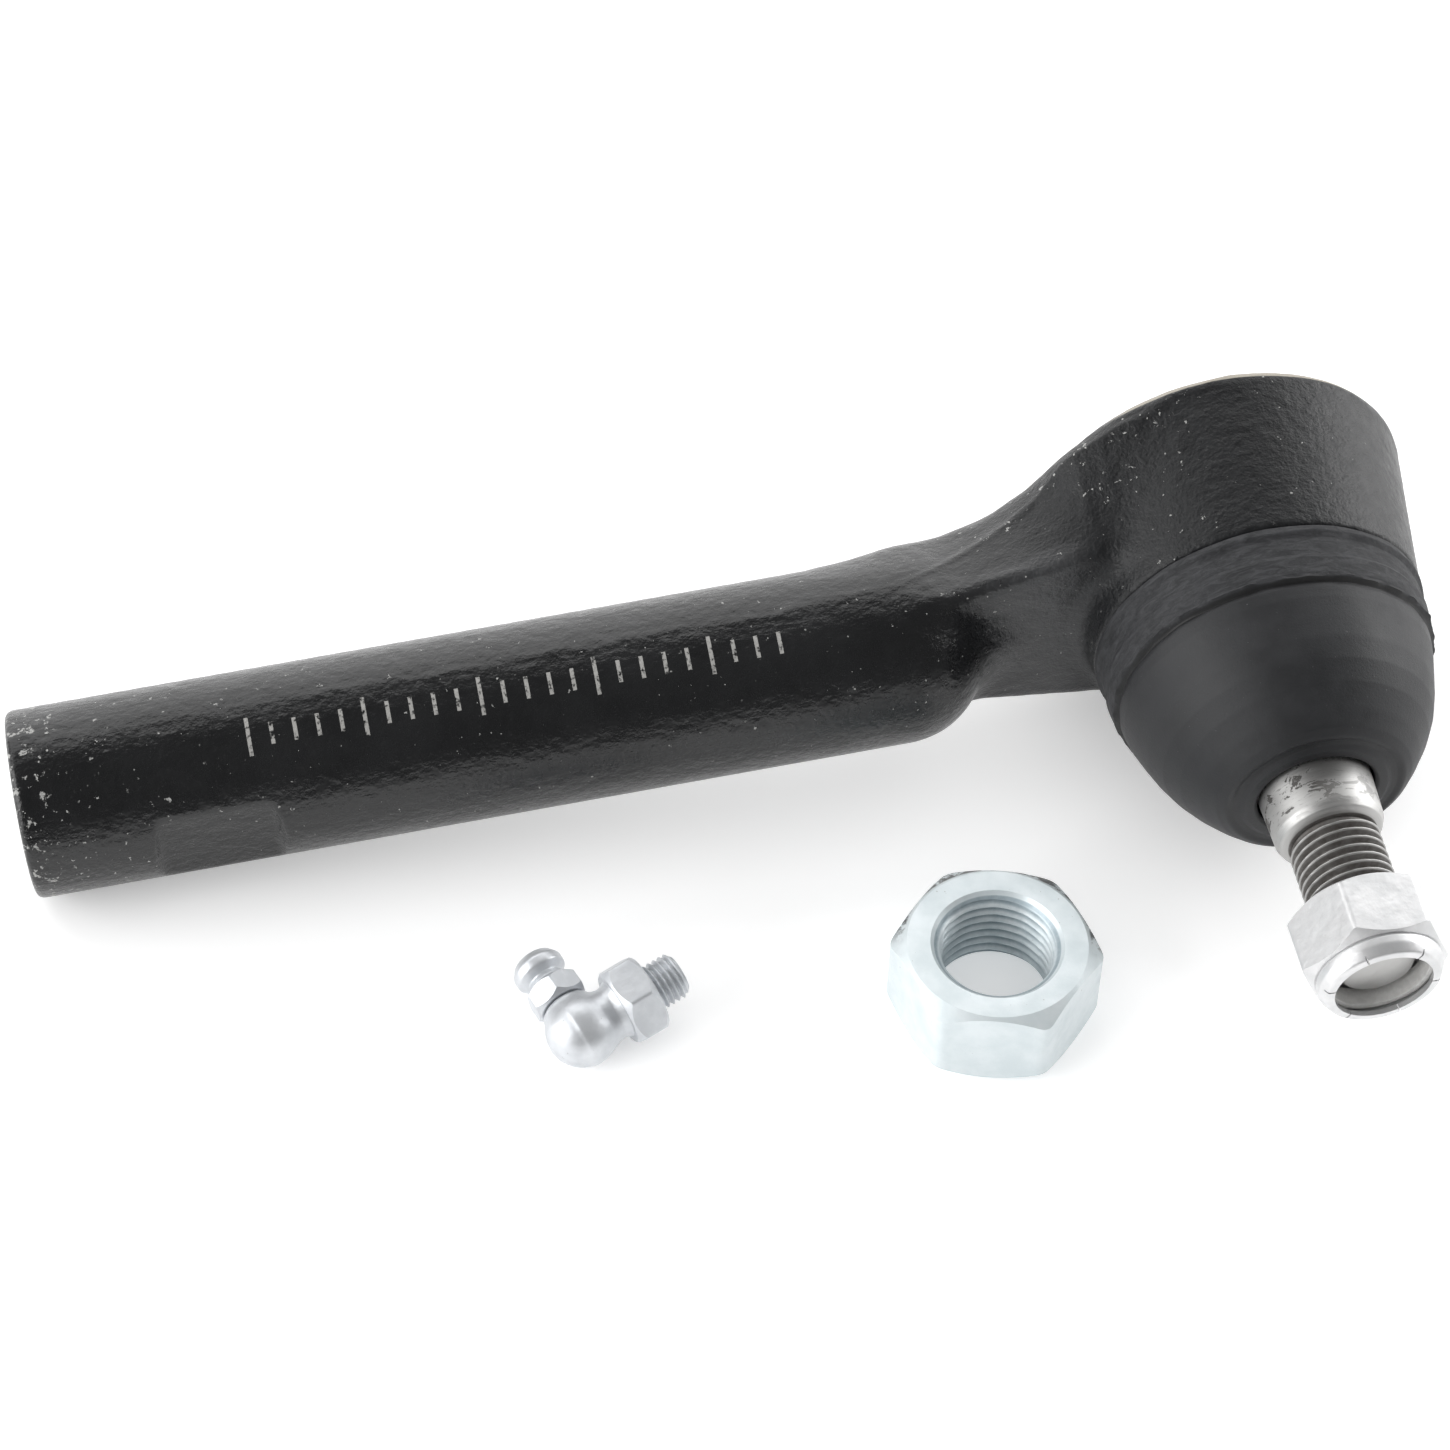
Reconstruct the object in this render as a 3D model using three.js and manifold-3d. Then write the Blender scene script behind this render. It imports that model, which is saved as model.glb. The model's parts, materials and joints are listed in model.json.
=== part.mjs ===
// Outer tie rod end with its jam nut and grease fitting, in millimetres, +Z up.
// The part lies on a table: +X runs from the shank's open end to the head, the stud points to -Y.
import * as THREE from 'three';
import { mergeVertices } from 'three/addons/utils/BufferGeometryUtils.js';
import Module from 'manifold-3d';

const wasm = await Module();
wasm.setup();

// ---- driving dimensions -------------------------------------------------------------------------
const GAP = 0.3;

const SHANK_RISE_DEG = 4.24;
const STUD_DROP_DEG = 3.31;

const SHANK_R = 12.32;
const SHANK_END_X = -162.6;
const SHANK_SHOULDER_X = -43;
const SHANK_NOSE_X = -35;
const FLATS_ACROSS = 21.4;
const FLATS_START = 16;
const FLATS_LENGTH = 17.3;
const BORE_R = 7.25;
const BORE_MOUTH_R = 8.7;
const BORE_DEPTH = 62;

const ARM_FRONT_Y = -2.2;
const ARM_CORNER_POWER = 8;

const RIM_R = 24.95;
const RIM_Y = 15.3;
const COLLAR_SEAT_R = 21.92;
const COLLAR_SEAT_Y = -7.2;
const SOCKET_R = 15.5;
const COVER_SEAT_Y = 13.1;
const COVER_R = 18.6;
const COVER_THICK = 1.6;
const PORT_R = 2.5;
const BOSS_Y = 17.8;

const BALL_R = 11;
const BALL_FLAT_Y = 8.7;
const STUD_YAW_DEG = 1.2;
const BALL_CLEAR_R = BALL_R + GAP;
const NECK_R = 5.9;
const TAPER_LARGE_R = 7.6;
const TAPER_SMALL_R = 7.15;
const THREAD_R = 6;
const STUD_END = 61.2;

const BOOT_SEAT_END = 15.2;
const BOOT_NECK_START = 29;

const NUT_BACK = 52.3;
const NUT_HEX_END = 60.9;
const NUT_END = 63.9;
const NUT_FLATS = 17;
const NUT_TURN_DEG = 20;
const NUT_LIP_R = 6.35;
const INSERT_R = 6.35;

const JAM_FLATS = 24;
const JAM_HEIGHT = 12.8;
const JAM_CENTRE = [-42.5, -43.5];
const JAM_TURN_DEG = -14.4;
const JAM_SINK_R = 8.56;

const ELBOW_R = 4.65;
const ELBOW_CENTRE = [-95.8, -42.3];
const ELBOW_TURN_DEG = 21.3;
const ELBOW_RISE_DEG = 9.3;
const NIPPLE_RISE_DEG = 4;
const ELBOW_FLATS = 10;
const NIPPLE_FLATS = 6.8;
const FITTING_THREAD_R = 3.1;
const CHAMBER_R = 1.6;
const CHECK_BALL_R = 1.2;

// ---- finishes -----------------------------------------------------------------------------------
function paint(color, roughness, metalness) {
  return new THREE.MeshStandardMaterial({ color, roughness, metalness });
}
const BLACK_PAINT = paint(0x101113, 0.35, 0.2);
const BARE_STEEL = paint(0xa9aaa8, 0.35, 0.9);
const DARK_STEEL = paint(0x55524e, 0.45, 0.8);
const ZINC = paint(0xc9ced2, 0.32, 0.9);
const RUBBER = paint(0x2a2c2e, 0.6, 0);
const BEARING_PLASTIC = paint(0xd8d4c4, 0.5, 0);
const NYLON = paint(0x8d8f8e, 0.5, 0);

// ---- solid helpers ------------------------------------------------------------------------------
const rad = (degrees) => (degrees * Math.PI) / 180;

function solid(geometry) {
  const bare = new THREE.BufferGeometry();
  bare.setAttribute('position', geometry.getAttribute('position').clone());
  if (geometry.index) {
    bare.setIndex(geometry.index.clone());
  }
  const merged = mergeVertices(bare, 1e-5);
  const points = merged.getAttribute('position').array;
  const corners = [];
  let volume = 0;
  for (let i = 0; i < merged.index.count; i += 3) {
    const [a, b, c] = [0, 1, 2].map((k) => merged.index.array[i + k]);
    if (a === b || b === c || c === a) {
      continue;
    }
    corners.push(a, b, c);
    const [p, q, r] = [a, b, c].map((v) => new THREE.Vector3().fromArray(points, 3 * v));
    volume += p.dot(q.cross(r));
  }
  if (volume < 0) {
    corners.reverse();
  }
  const mesh = new wasm.Mesh({
    numProp: 3,
    vertProperties: new Float32Array(points),
    triVerts: new Uint32Array(corners),
  });
  return new wasm.Manifold(mesh);
}

// profile: [radius, station] pairs, turned about Y; a loop closes on itself, a line ends on the axis
function turned(profile, segments) {
  const points = profile.map(([r, y]) => new THREE.Vector2(r, y));
  if (profile[0][0] > 0) {
    points.push(points[0].clone());
  }
  return new THREE.LatheGeometry(points, segments);
}

const aboutY = (profile, segments) => solid(turned(profile, segments));
const alongX = (profile, segments) => solid(turned(profile, segments).rotateZ(-Math.PI / 2));
const alongStud = (profile, segments) => solid(turned(profile, segments).rotateX(Math.PI));
const alongZ = (profile, segments) => solid(turned(profile, segments).rotateX(Math.PI / 2));

function box(size, centre) {
  return solid(new THREE.BoxGeometry(...size).translate(...centre));
}

// hexagonal bar along Y with its first corner towards +Z
function hexBar(flats, from, to, turnDeg) {
  const corner = flats / Math.sqrt(3);
  const bar = new THREE.CylinderGeometry(corner, corner, to - from, 6);
  return bar.rotateY(rad(turnDeg)).translate(0, (from + to) / 2, 0);
}

// barrel that rounds a hexagon's corners at both ends
function chamferProfile(flats, from, to, drop) {
  const corner = flats / Math.sqrt(3) + 0.05;
  const face = flats / 2 - 0.15;
  return [
    [0, from],
    [face, from],
    [corner, from + drop],
    [corner, to - drop],
    [face, to],
    [0, to],
  ];
}

function node(name, manifold, material) {
  const found = manifold.getMesh();
  const geometry = new THREE.BufferGeometry();
  geometry.setAttribute('position', new THREE.BufferAttribute(new Float32Array(found.vertProperties), 3));
  geometry.setIndex(new THREE.BufferAttribute(new Uint32Array(found.triVerts), 1));
  geometry.computeVertexNormals();
  const mesh = new THREE.Mesh(geometry, material);
  mesh.name = name;
  return mesh;
}

// ---- socket housing -----------------------------------------------------------------------------
// arm stations: x, half height at the front face, half height at the back, y of the back face
const ARM_STATIONS = [
  [-53, 6, 6, 8],
  [-47, 9, 7, 10.5],
  [-42.7, 11.4, 7.8, 11.8],
  [-36.9, 12.6, 8.7, 13.4],
  [-31.1, 13.9, 10.4, 14.2],
  [-26.5, 14.9, 13, 14.7],
  [-23.5, 15.5, 16, 14.9],
  [-20.5, 15.8, 19, 14.9],
  [-17, 15.8, 21, 14.9],
  [-12.5, 15, 22.4, 14.9],
  [-7, 13.4, 23.2, 14.9],
  [0, 12.4, 23.6, 14.9],
];
const ARM_SIDES = 32;

function armSection([x, front, back, backY]) {
  const middle = (backY + ARM_FRONT_Y) / 2;
  const depth = (backY - ARM_FRONT_Y) / 2;
  const round = (value) => Math.sign(value) * Math.abs(value) ** (2 / ARM_CORNER_POWER);
  return Array.from({ length: ARM_SIDES }, (_, i) => {
    const angle = (2 * Math.PI * i) / ARM_SIDES;
    const across = round(Math.cos(angle));
    const height = THREE.MathUtils.lerp(front, back, (across + 1) / 2);
    return new THREE.Vector3(x, middle + depth * across, height * round(Math.sin(angle)));
  });
}

function loft(sections) {
  const sides = sections[0].length;
  const points = sections.flat();
  const faces = [];
  for (let s = 0; s < sections.length - 1; s += 1) {
    for (let i = 0; i < sides; i += 1) {
      const a = s * sides + i;
      const b = s * sides + ((i + 1) % sides);
      faces.push(a, b, b + sides, a, b + sides, a + sides);
    }
  }
  const last = (sections.length - 1) * sides;
  for (let i = 1; i < sides - 1; i += 1) {
    faces.push(0, i + 1, i, last, last + i, last + i + 1);
  }
  const geometry = new THREE.BufferGeometry().setFromPoints(points);
  geometry.setIndex(faces);
  return solid(geometry);
}

function shank() {
  const end = SHANK_END_X;
  const round = alongX(
    [
      [0, end],
      [SHANK_R - 1.4, end],
      [SHANK_R, end + 1.4],
      [SHANK_R, SHANK_SHOULDER_X],
      [SHANK_R - 0.9, SHANK_SHOULDER_X + 2.6],
      [SHANK_R - 3.2, SHANK_SHOULDER_X + 5],
      [SHANK_R - 6.4, SHANK_NOSE_X - 1.2],
      [0, SHANK_NOSE_X],
    ],
    48,
  );
  const flatX = end + FLATS_START + FLATS_LENGTH / 2;
  const slab = 2 * SHANK_R;
  let cut = round;
  for (const side of [-1, 1]) {
    const middle = [flatX, side * (FLATS_ACROSS / 2 + slab / 2), 0];
    cut = cut.subtract(box([FLATS_LENGTH, slab, 2 * slab], middle));
  }
  return cut;
}

function threadedBore() {
  const end = SHANK_END_X;
  return alongX(
    [
      [0, end - 1],
      [BORE_MOUTH_R + 1, end - 1],
      [BORE_MOUTH_R, end],
      [BORE_R, end + 1.45],
      [BORE_R, end + BORE_DEPTH],
      [0, end + BORE_DEPTH + 4],
    ],
    36,
  );
}

function socketHousing() {
  const head = aboutY(
    [
      [0, -14.7],
      [19.1, -14.7],
      [19.1, -12.9],
      [18.2, -12.9],
      [18.2, COLLAR_SEAT_Y],
      [COLLAR_SEAT_R, COLLAR_SEAT_Y],
      [RIM_R, RIM_Y],
      [24.3, 16.1],
      [23.2, 16.5],
      [0, 16.5],
    ],
    60,
  );
  const inside = aboutY(
    [
      [0, -15],
      [13.9, -15],
      [11.5, -8.1],
      [SOCKET_R, -4.9],
      [SOCKET_R, COVER_SEAT_Y],
      [COVER_R + GAP, COVER_SEAT_Y],
      [COVER_R + GAP, COVER_SEAT_Y + COVER_THICK + 2 * GAP],
      [17, COVER_SEAT_Y + COVER_THICK + 2 * GAP],
      [17.6, 17],
      [0, 17],
    ],
    48,
  );
  const arm = loft(ARM_STATIONS.map(armSection));
  return shank().add(arm).add(head).subtract(inside).subtract(threadedBore());
}

// ---- pieces inside the head ---------------------------------------------------------------------
function sphereArc(radius, from, to, steps) {
  return Array.from({ length: steps + 1 }, (_, i) => {
    const y = THREE.MathUtils.lerp(from, to, i / steps);
    return [Math.sqrt(radius * radius - y * y), y];
  });
}

function frontBearing() {
  const outside = SOCKET_R - GAP;
  return aboutY(
    [
      [outside, -0.2],
      ...sphereArc(BALL_CLEAR_R, -0.2, -6.2, 5),
      [10, -6.9],
      [12.4, -6.9],
      [outside, -4.7],
    ],
    40,
  );
}

function rearBearing() {
  const outside = SOCKET_R - GAP;
  const hollow = sphereArc(BALL_CLEAR_R, 0.2, 10.3, 7);
  return aboutY([[outside, 0.2], ...hollow, [4.65, 10.4], [outside, 10.4]], 40);
}

function pressurePlate() {
  const outside = SOCKET_R - 2 * GAP;
  return aboutY([[outside, 10.7], [outside, 11.6], [5, 11.6], [2.5, 11.8], [2.5, 10.9], [5, 10.7]], 36);
}

function preloadSpring() {
  return aboutY([[6, 12.3], [6, 13], [14.4, 12.6], [14.4, 11.9]], 36);
}

function coverPlate() {
  const low = COVER_SEAT_Y + GAP;
  const high = low + COVER_THICK;
  return aboutY(
    [
      [PORT_R, low],
      [COVER_R, low],
      [COVER_R, high - 0.4],
      [COVER_R - 0.4, high],
      [6.6, high],
      [6, high + 0.6],
      [6, BOSS_Y - 0.4],
      [5.6, BOSS_Y],
      [PORT_R + 0.5, BOSS_Y],
      [PORT_R, BOSS_Y - 0.5],
    ],
    36,
  );
}

function ballStud() {
  const start = Math.sqrt(BALL_R * BALL_R - NECK_R * NECK_R);
  return alongStud(
    [
      [0, -BALL_FLAT_Y],
      ...sphereArc(BALL_R, -BALL_FLAT_Y, start, 14),
      [NECK_R, 24],
      [NECK_R + 0.5, 26],
      [TAPER_LARGE_R, 28.6],
      [TAPER_SMALL_R, 39.9],
      [TAPER_SMALL_R - 0.4, 40.8],
      [THREAD_R, 41.4],
      [THREAD_R, STUD_END - 0.8],
      [THREAD_R - 0.8, STUD_END],
      [0, STUD_END],
    ],
    36,
  );
}

// ---- boot and its rings -------------------------------------------------------------------------
// the boot's neck leans with the stud, its wide end stays square to the head
function leanWithStud(geometry) {
  const points = geometry.getAttribute('position');
  for (let i = 0; i < points.count; i += 1) {
    const out = -points.getY(i);
    const share = THREE.MathUtils.smoothstep(out, BOOT_SEAT_END, BOOT_NECK_START);
    points.setX(i, points.getX(i) + share * out * Math.sin(rad(STUD_YAW_DEG)));
  }
  return geometry;
}

function dustBoot() {
  const profile = [
    [18.5, 7.5],
    [21.88, 7.5],
    [21.37, 15.1],
    [20.6, 17.8],
    [19.1, 23.1],
    [18, 25.8],
    [16.5, 28.4],
    [14.5, 31.1],
    [12.9, 32.9],
    [11.7, 33.9],
    [10.9, 33.6],
    [9.4, 34.1],
    [8.5, 34.1],
    [7.9, 33.7],
    [7.9, 32.7],
    [9.6, 32.7],
    [9.6, 29.9],
    [7.9, 29.9],
    [7.9, 29.3],
    [12, 29.2],
    [14.5, 27.6],
    [17.4, 22],
    [18.3, 19],
    [19.1, 16.5],
    [19.5, 15.2],
    [19.5, 12.6],
    [18.5, 12.6],
    [18.5, 11.6],
    [20.3, 11.6],
    [20.3, 9],
    [18.5, 9],
  ];
  return solid(leanWithStud(turned(profile, 44).rotateX(Math.PI)));
}

const bootCollarRing = () => alongStud([[18.8, 9.3], [20, 9.3], [20, 11.3], [18.8, 11.3]], 40);
const bootNeckRing = () => alongStud([[8.2, 30.2], [9.3, 30.2], [9.3, 32.4], [8.2, 32.4]], 32);

// ---- lock nut -----------------------------------------------------------------------------------
function lockNut() {
  const hex = solid(hexBar(NUT_FLATS, NUT_BACK, NUT_HEX_END + 0.6, NUT_TURN_DEG).rotateX(Math.PI));
  const body = hex.intersect(alongStud(chamferProfile(NUT_FLATS, NUT_BACK, NUT_HEX_END + 0.6, 1.1), 36));
  const crimp = alongStud(
    [[0, 55], [8.15, 55], [8.15, NUT_END - 1.5], [7.9, NUT_END - 0.6], [7.2, NUT_END], [0, NUT_END]],
    36,
  );
  const hole = alongStud(
    [
      [0, NUT_BACK - 1],
      [7.3, NUT_BACK - 1],
      [THREAD_R + GAP, NUT_BACK + 0.7],
      [THREAD_R + GAP, NUT_END - 4.5],
      [7.5, NUT_END - 4.5],
      [7.5, NUT_END - 1.2],
      [NUT_LIP_R, NUT_END - 0.8],
      [NUT_LIP_R, NUT_END + 1],
      [0, NUT_END + 1],
    ],
    36,
  );
  return body.add(crimp).subtract(hole);
}

function nylonInsert() {
  const [back, front] = [NUT_END - 4.2, NUT_END - 1.5];
  const outer = [[7.2, back], [7.2, front - 0.1], [6.8, front]];
  return alongStud([[INSERT_R, back], ...outer, [INSERT_R, front - 0.2]], 32);
}

// ---- loose jam nut ------------------------------------------------------------------------------
function jamNut() {
  const hex = solid(hexBar(JAM_FLATS, 0, JAM_HEIGHT, 30).rotateX(Math.PI / 2));
  const body = hex.intersect(alongZ(chamferProfile(JAM_FLATS, 0, JAM_HEIGHT, 1.2), 48));
  const hole = alongZ(
    [
      [0, -1],
      [JAM_SINK_R + 1, -1],
      [JAM_SINK_R, 0],
      [BORE_R, JAM_SINK_R - BORE_R],
      [BORE_R, JAM_HEIGHT - JAM_SINK_R + BORE_R],
      [JAM_SINK_R, JAM_HEIGHT],
      [JAM_SINK_R + 1, JAM_HEIGHT + 1],
      [0, JAM_HEIGHT + 1],
    ],
    36,
  );
  return body.subtract(hole);
}

// ---- loose grease fitting: thread towards +X, nipple towards +Y ----------------------------------
function elbowBody() {
  const ball = solid(new THREE.SphereGeometry(ELBOW_R, 24, 14));
  const neck = alongX([[0, 0], [3.9, 0], [3.3, 3.5], [3.4, 5.8], [0, 5.8]], 24);
  const hex = solid(hexBar(ELBOW_FLATS, 5.4, 10.2, 0).rotateZ(-Math.PI / 2));
  const rounded = hex.intersect(alongX(chamferProfile(ELBOW_FLATS, 5.4, 10.2, 0.9), 24));
  const thread = alongX(
    [[0, 9], [FITTING_THREAD_R, 9], [FITTING_THREAD_R, 14.2], [FITTING_THREAD_R - 0.5, 14.7], [0, 14.7]],
    24,
  );
  const longHole = alongX([[0, -0.5], [1.2, -0.5], [1.2, 16], [0, 16]], 16);
  const shortHole = aboutY([[0, -0.5], [2.2, -0.5], [2.2, 6], [0, 6]], 16);
  return ball.add(neck).add(rounded).add(thread).subtract(longHole).subtract(shortHole);
}

function greaseNipple() {
  const hex = solid(hexBar(NIPPLE_FLATS, 4.5, 7.9, 0));
  const rounded = hex.intersect(aboutY(chamferProfile(NIPPLE_FLATS, 4.5, 7.9, 0.7), 24));
  const head = aboutY(
    [
      [0, 1.6],
      [1.9, 1.6],
      [1.9, 5],
      [2.7, 5],
      [2.7, 8.2],
      [2.35, 8.7],
      [2.35, 9.3],
      [3.2, 10.3],
      [3.2, 11.2],
      [2.5, 12.2],
      [1.3, 12.6],
      [0, 12.6],
    ],
    24,
  );
  const passage = aboutY(
    [[0, 1], [0.6, 1], [0.6, 6.2], [CHAMBER_R, 6.2], [CHAMBER_R, 11.1], [0.9, 11.7], [0.9, 13], [0, 13]],
    16,
  );
  return rounded.add(head).subtract(passage);
}

const checkBall = () => solid(new THREE.SphereGeometry(CHECK_BALL_R, 16, 10).translate(0, 10, 0));

function checkSpring() {
  const turns = 3;
  const coil = [];
  for (let i = 0; i <= 12 * turns; i += 1) {
    const angle = (2 * Math.PI * i) / 12;
    const rise = 6.75 + (1.5 * i) / (12 * turns);
    coil.push(new THREE.Vector3(0.95 * Math.cos(angle), rise, 0.95 * Math.sin(angle)));
  }
  const wire = new THREE.Shape();
  wire.absarc(0, 0, 0.18, 0, 2 * Math.PI);
  const path = new THREE.CatmullRomCurve3(coil);
  const along = { steps: 12 * turns, curveSegments: 4, bevelEnabled: false, extrudePath: path };
  return solid(new THREE.ExtrudeGeometry(wire, along));
}

// ---- assembly -----------------------------------------------------------------------------------
function group(...members) {
  const made = new THREE.Group();
  made.add(...members);
  return made;
}

// puts a group down on the table at the given place, lowest point at height 0
function layDown(made, x, y) {
  made.position.set(x, y, 0);
  made.updateMatrixWorld(true);
  made.position.z = -new THREE.Box3().setFromObject(made, true).min.z;
}

const stud = group(
  node('ball_stud', ballStud(), BARE_STEEL),
  node('boot_neck_ring', bootNeckRing(), DARK_STEEL),
  node('lock_nut', lockNut(), ZINC),
  node('nylon_insert', nylonInsert(), NYLON),
);
stud.rotation.z = rad(STUD_YAW_DEG);

const tieRod = group(
  node('socket_housing', socketHousing(), BLACK_PAINT),
  node('cover_plate', coverPlate(), BARE_STEEL),
  node('preload_spring', preloadSpring(), DARK_STEEL),
  node('pressure_plate', pressurePlate(), DARK_STEEL),
  node('rear_bearing', rearBearing(), BEARING_PLASTIC),
  node('front_bearing', frontBearing(), BEARING_PLASTIC),
  node('dust_boot', dustBoot(), RUBBER),
  node('boot_collar_ring', bootCollarRing(), DARK_STEEL),
  stud,
);
tieRod.rotation.set(rad(STUD_DROP_DEG), rad(-SHANK_RISE_DEG), 0, 'YXZ');
layDown(tieRod, 0, 0);

const looseNut = group(node('jam_nut', jamNut(), ZINC));
looseNut.rotation.z = rad(JAM_TURN_DEG);
layDown(looseNut, ...JAM_CENTRE);

const fitting = group(
  node('grease_elbow', elbowBody(), ZINC),
  node('grease_nipple', greaseNipple(), ZINC),
  node('check_ball', checkBall(), BARE_STEEL),
  node('check_spring', checkSpring(), DARK_STEEL),
);
fitting.rotation.set(rad(NIPPLE_RISE_DEG), rad(-ELBOW_RISE_DEG), rad(ELBOW_TURN_DEG), 'ZYX');
layDown(fitting, ...ELBOW_CENTRE);

const part = group(tieRod, looseNut, fitting);
part.name = 'tie_rod_end';

// the origin is the middle of the footprint, on the table
part.updateMatrixWorld(true);
const middle = new THREE.Box3().setFromObject(part, true).getCenter(new THREE.Vector3());
part.position.set(-middle.x, -middle.y, 0);
part.updateMatrixWorld(true);

export default part;
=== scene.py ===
"""Looks of an outer tie rod end with its loose jam nut and grease fitting."""
import json
import math

import bmesh
import bpy
import numpy as np
from mathutils import Matrix, Vector


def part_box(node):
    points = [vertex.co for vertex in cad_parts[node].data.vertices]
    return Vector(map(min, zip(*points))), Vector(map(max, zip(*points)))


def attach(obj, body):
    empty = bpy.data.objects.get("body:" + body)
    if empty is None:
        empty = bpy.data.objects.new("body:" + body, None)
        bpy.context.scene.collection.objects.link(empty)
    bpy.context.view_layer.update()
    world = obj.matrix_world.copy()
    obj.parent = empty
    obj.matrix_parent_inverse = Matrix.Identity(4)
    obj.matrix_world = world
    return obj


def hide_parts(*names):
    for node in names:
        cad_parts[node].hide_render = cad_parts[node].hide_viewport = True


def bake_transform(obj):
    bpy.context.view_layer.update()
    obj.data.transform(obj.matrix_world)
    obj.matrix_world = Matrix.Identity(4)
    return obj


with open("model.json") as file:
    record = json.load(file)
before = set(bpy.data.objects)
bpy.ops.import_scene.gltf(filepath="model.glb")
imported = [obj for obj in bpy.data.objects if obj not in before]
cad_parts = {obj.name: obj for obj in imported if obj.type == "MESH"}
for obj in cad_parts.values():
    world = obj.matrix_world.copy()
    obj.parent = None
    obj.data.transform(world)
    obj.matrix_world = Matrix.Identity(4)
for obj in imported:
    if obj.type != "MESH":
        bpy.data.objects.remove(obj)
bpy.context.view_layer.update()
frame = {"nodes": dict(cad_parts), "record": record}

MM = 0.001
JOINTS = {joint["name"]: joint for joint in frame["record"]["behaviour"]["joints"]}
MOUNTS = {mount["name"]: mount for mount in frame["record"]["mounts"]}

# ---- driving dimensions in millimetres; X along the shank, stud to -Y, ball's centre at zero -------
SHANK_R = 12.32
SHANK_END_X = -162.6
SHANK_NOSE_X = -35.5
SHANK_SHOULDER_X = -43.0
FLATS_HALF = 10.7
FLATS_FROM = -146.6
FLATS_TO = -129.3
BORE_PITCH = 1.5
BORE_MINOR_R = 7.25
BORE_MAJOR_R = 8.0
BORE_DEPTH = 62.0

MARKS_FROM = -132.0
MARKS_LENGTH = 69.0
MARKS_ANGLE = math.radians(71)

ARM_FRONT_Y = -2.2
RIM_R = 24.95
RIM_Y = 15.3
RIM_CHAMFER = math.radians(30)
HEAD_BACK_Y = 16.5
COLLAR_SEAT_R = 21.92
COLLAR_SEAT_Y = -7.2
SPIGOT_R = 18.2
SPIGOT_END_Y = -14.6
SOCKET_R = 15.5
COVER_SEAT_R = 18.9

STUD_R = 6.0
STUD_PITCH = 1.25
BALL_R = 11.0
NECK_R = 5.9
STUD_END = 61.2
THREAD_FROM = 41.3
TAPER_END = 40.7

NUT_BACK = 52.3
NUT_HEX_END = 61.2
NUT_END = 63.9
NUT_FLATS = 17.0
NUT_PHASE = math.radians(20)
SLIT_PHASE = math.radians(38.5)

JAM_FLATS = 24.0
JAM_HEIGHT = 12.8
JAM_TURN = math.radians(-14.4)
JAM_SINK_R = 8.56

ELBOW_R = 4.65
ELBOW_FLATS = 10.0
ELBOW_HEX_FROM = 5.4
ELBOW_HEX_TO = 10.2
NIPPLE_FLATS = 6.8
FITTING_THREAD_R = 3.1
FITTING_PITCH = 0.8
FITTING_THREAD_END = 14.4
NIPPLE_LENGTH = 12.6
CHECK_BALL_R = 1.2
CHECK_BALL_Y = 10.0

COVER_LOW = 13.4
COVER_HIGH = 15.0
BOSS_Y = 17.8


# ---- frames -------------------------------------------------------------------------------------
def placed(x_axis, y_axis, z_axis, origin):
    """Matrix from a piece's own millimetres to the row's metres."""
    m = Matrix.Identity(4)
    for column, axis in enumerate((x_axis, y_axis, z_axis)):
        for row in range(3):
            m[row][column] = axis[row] * MM
    m.translation = origin
    return m


BALL = Vector(JOINTS["stud_tilt"]["pos_m"])
SHANK_X = Vector(JOINTS["stud_tilt"]["axis"]).normalized()
HEAD_Y = -Vector(JOINTS["socket_turn"]["axis"]).normalized()
UP = SHANK_X.cross(HEAD_Y)
ROD = placed(SHANK_X, HEAD_Y, UP, BALL)
STUD_Y = -Vector(JOINTS["stud_spin"]["axis"]).normalized()
STUD = placed(STUD_Y.cross(UP), STUD_Y, UP, BALL)
THREAD_X = Vector(MOUNTS["fitting_thread"]["axis"]).normalized()
NIPPLE_Y = Vector(MOUNTS["nipple_head"]["axis"]).normalized()
ELBOW = placed(
    THREAD_X,
    NIPPLE_Y,
    THREAD_X.cross(NIPPLE_Y),
    Vector(MOUNTS["nipple_head"]["pos_m"]) - NIPPLE_LENGTH * MM * NIPPLE_Y,
)
JAM_LOW, JAM_HIGH = (Vector(corner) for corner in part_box("jam_nut"))
JAM = placed(
    Vector((math.cos(JAM_TURN), math.sin(JAM_TURN), 0)),
    Vector((-math.sin(JAM_TURN), math.cos(JAM_TURN), 0)),
    Vector((0, 0, 1)),
    Vector(((JAM_LOW.x + JAM_HIGH.x) / 2, (JAM_LOW.y + JAM_HIGH.y) / 2, JAM_LOW.z)),
)


# ---- mesh building, all in a piece's own millimetres ----------------------------------------------
def new_object(name, verts, faces):
    mesh = bpy.data.meshes.new(name)
    mesh.from_pydata([tuple(v) for v in verts], [], [tuple(f) for f in faces])
    mesh.update()
    obj = bpy.data.objects.new(name, mesh)
    bpy.context.scene.collection.objects.link(obj)
    return obj


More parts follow.
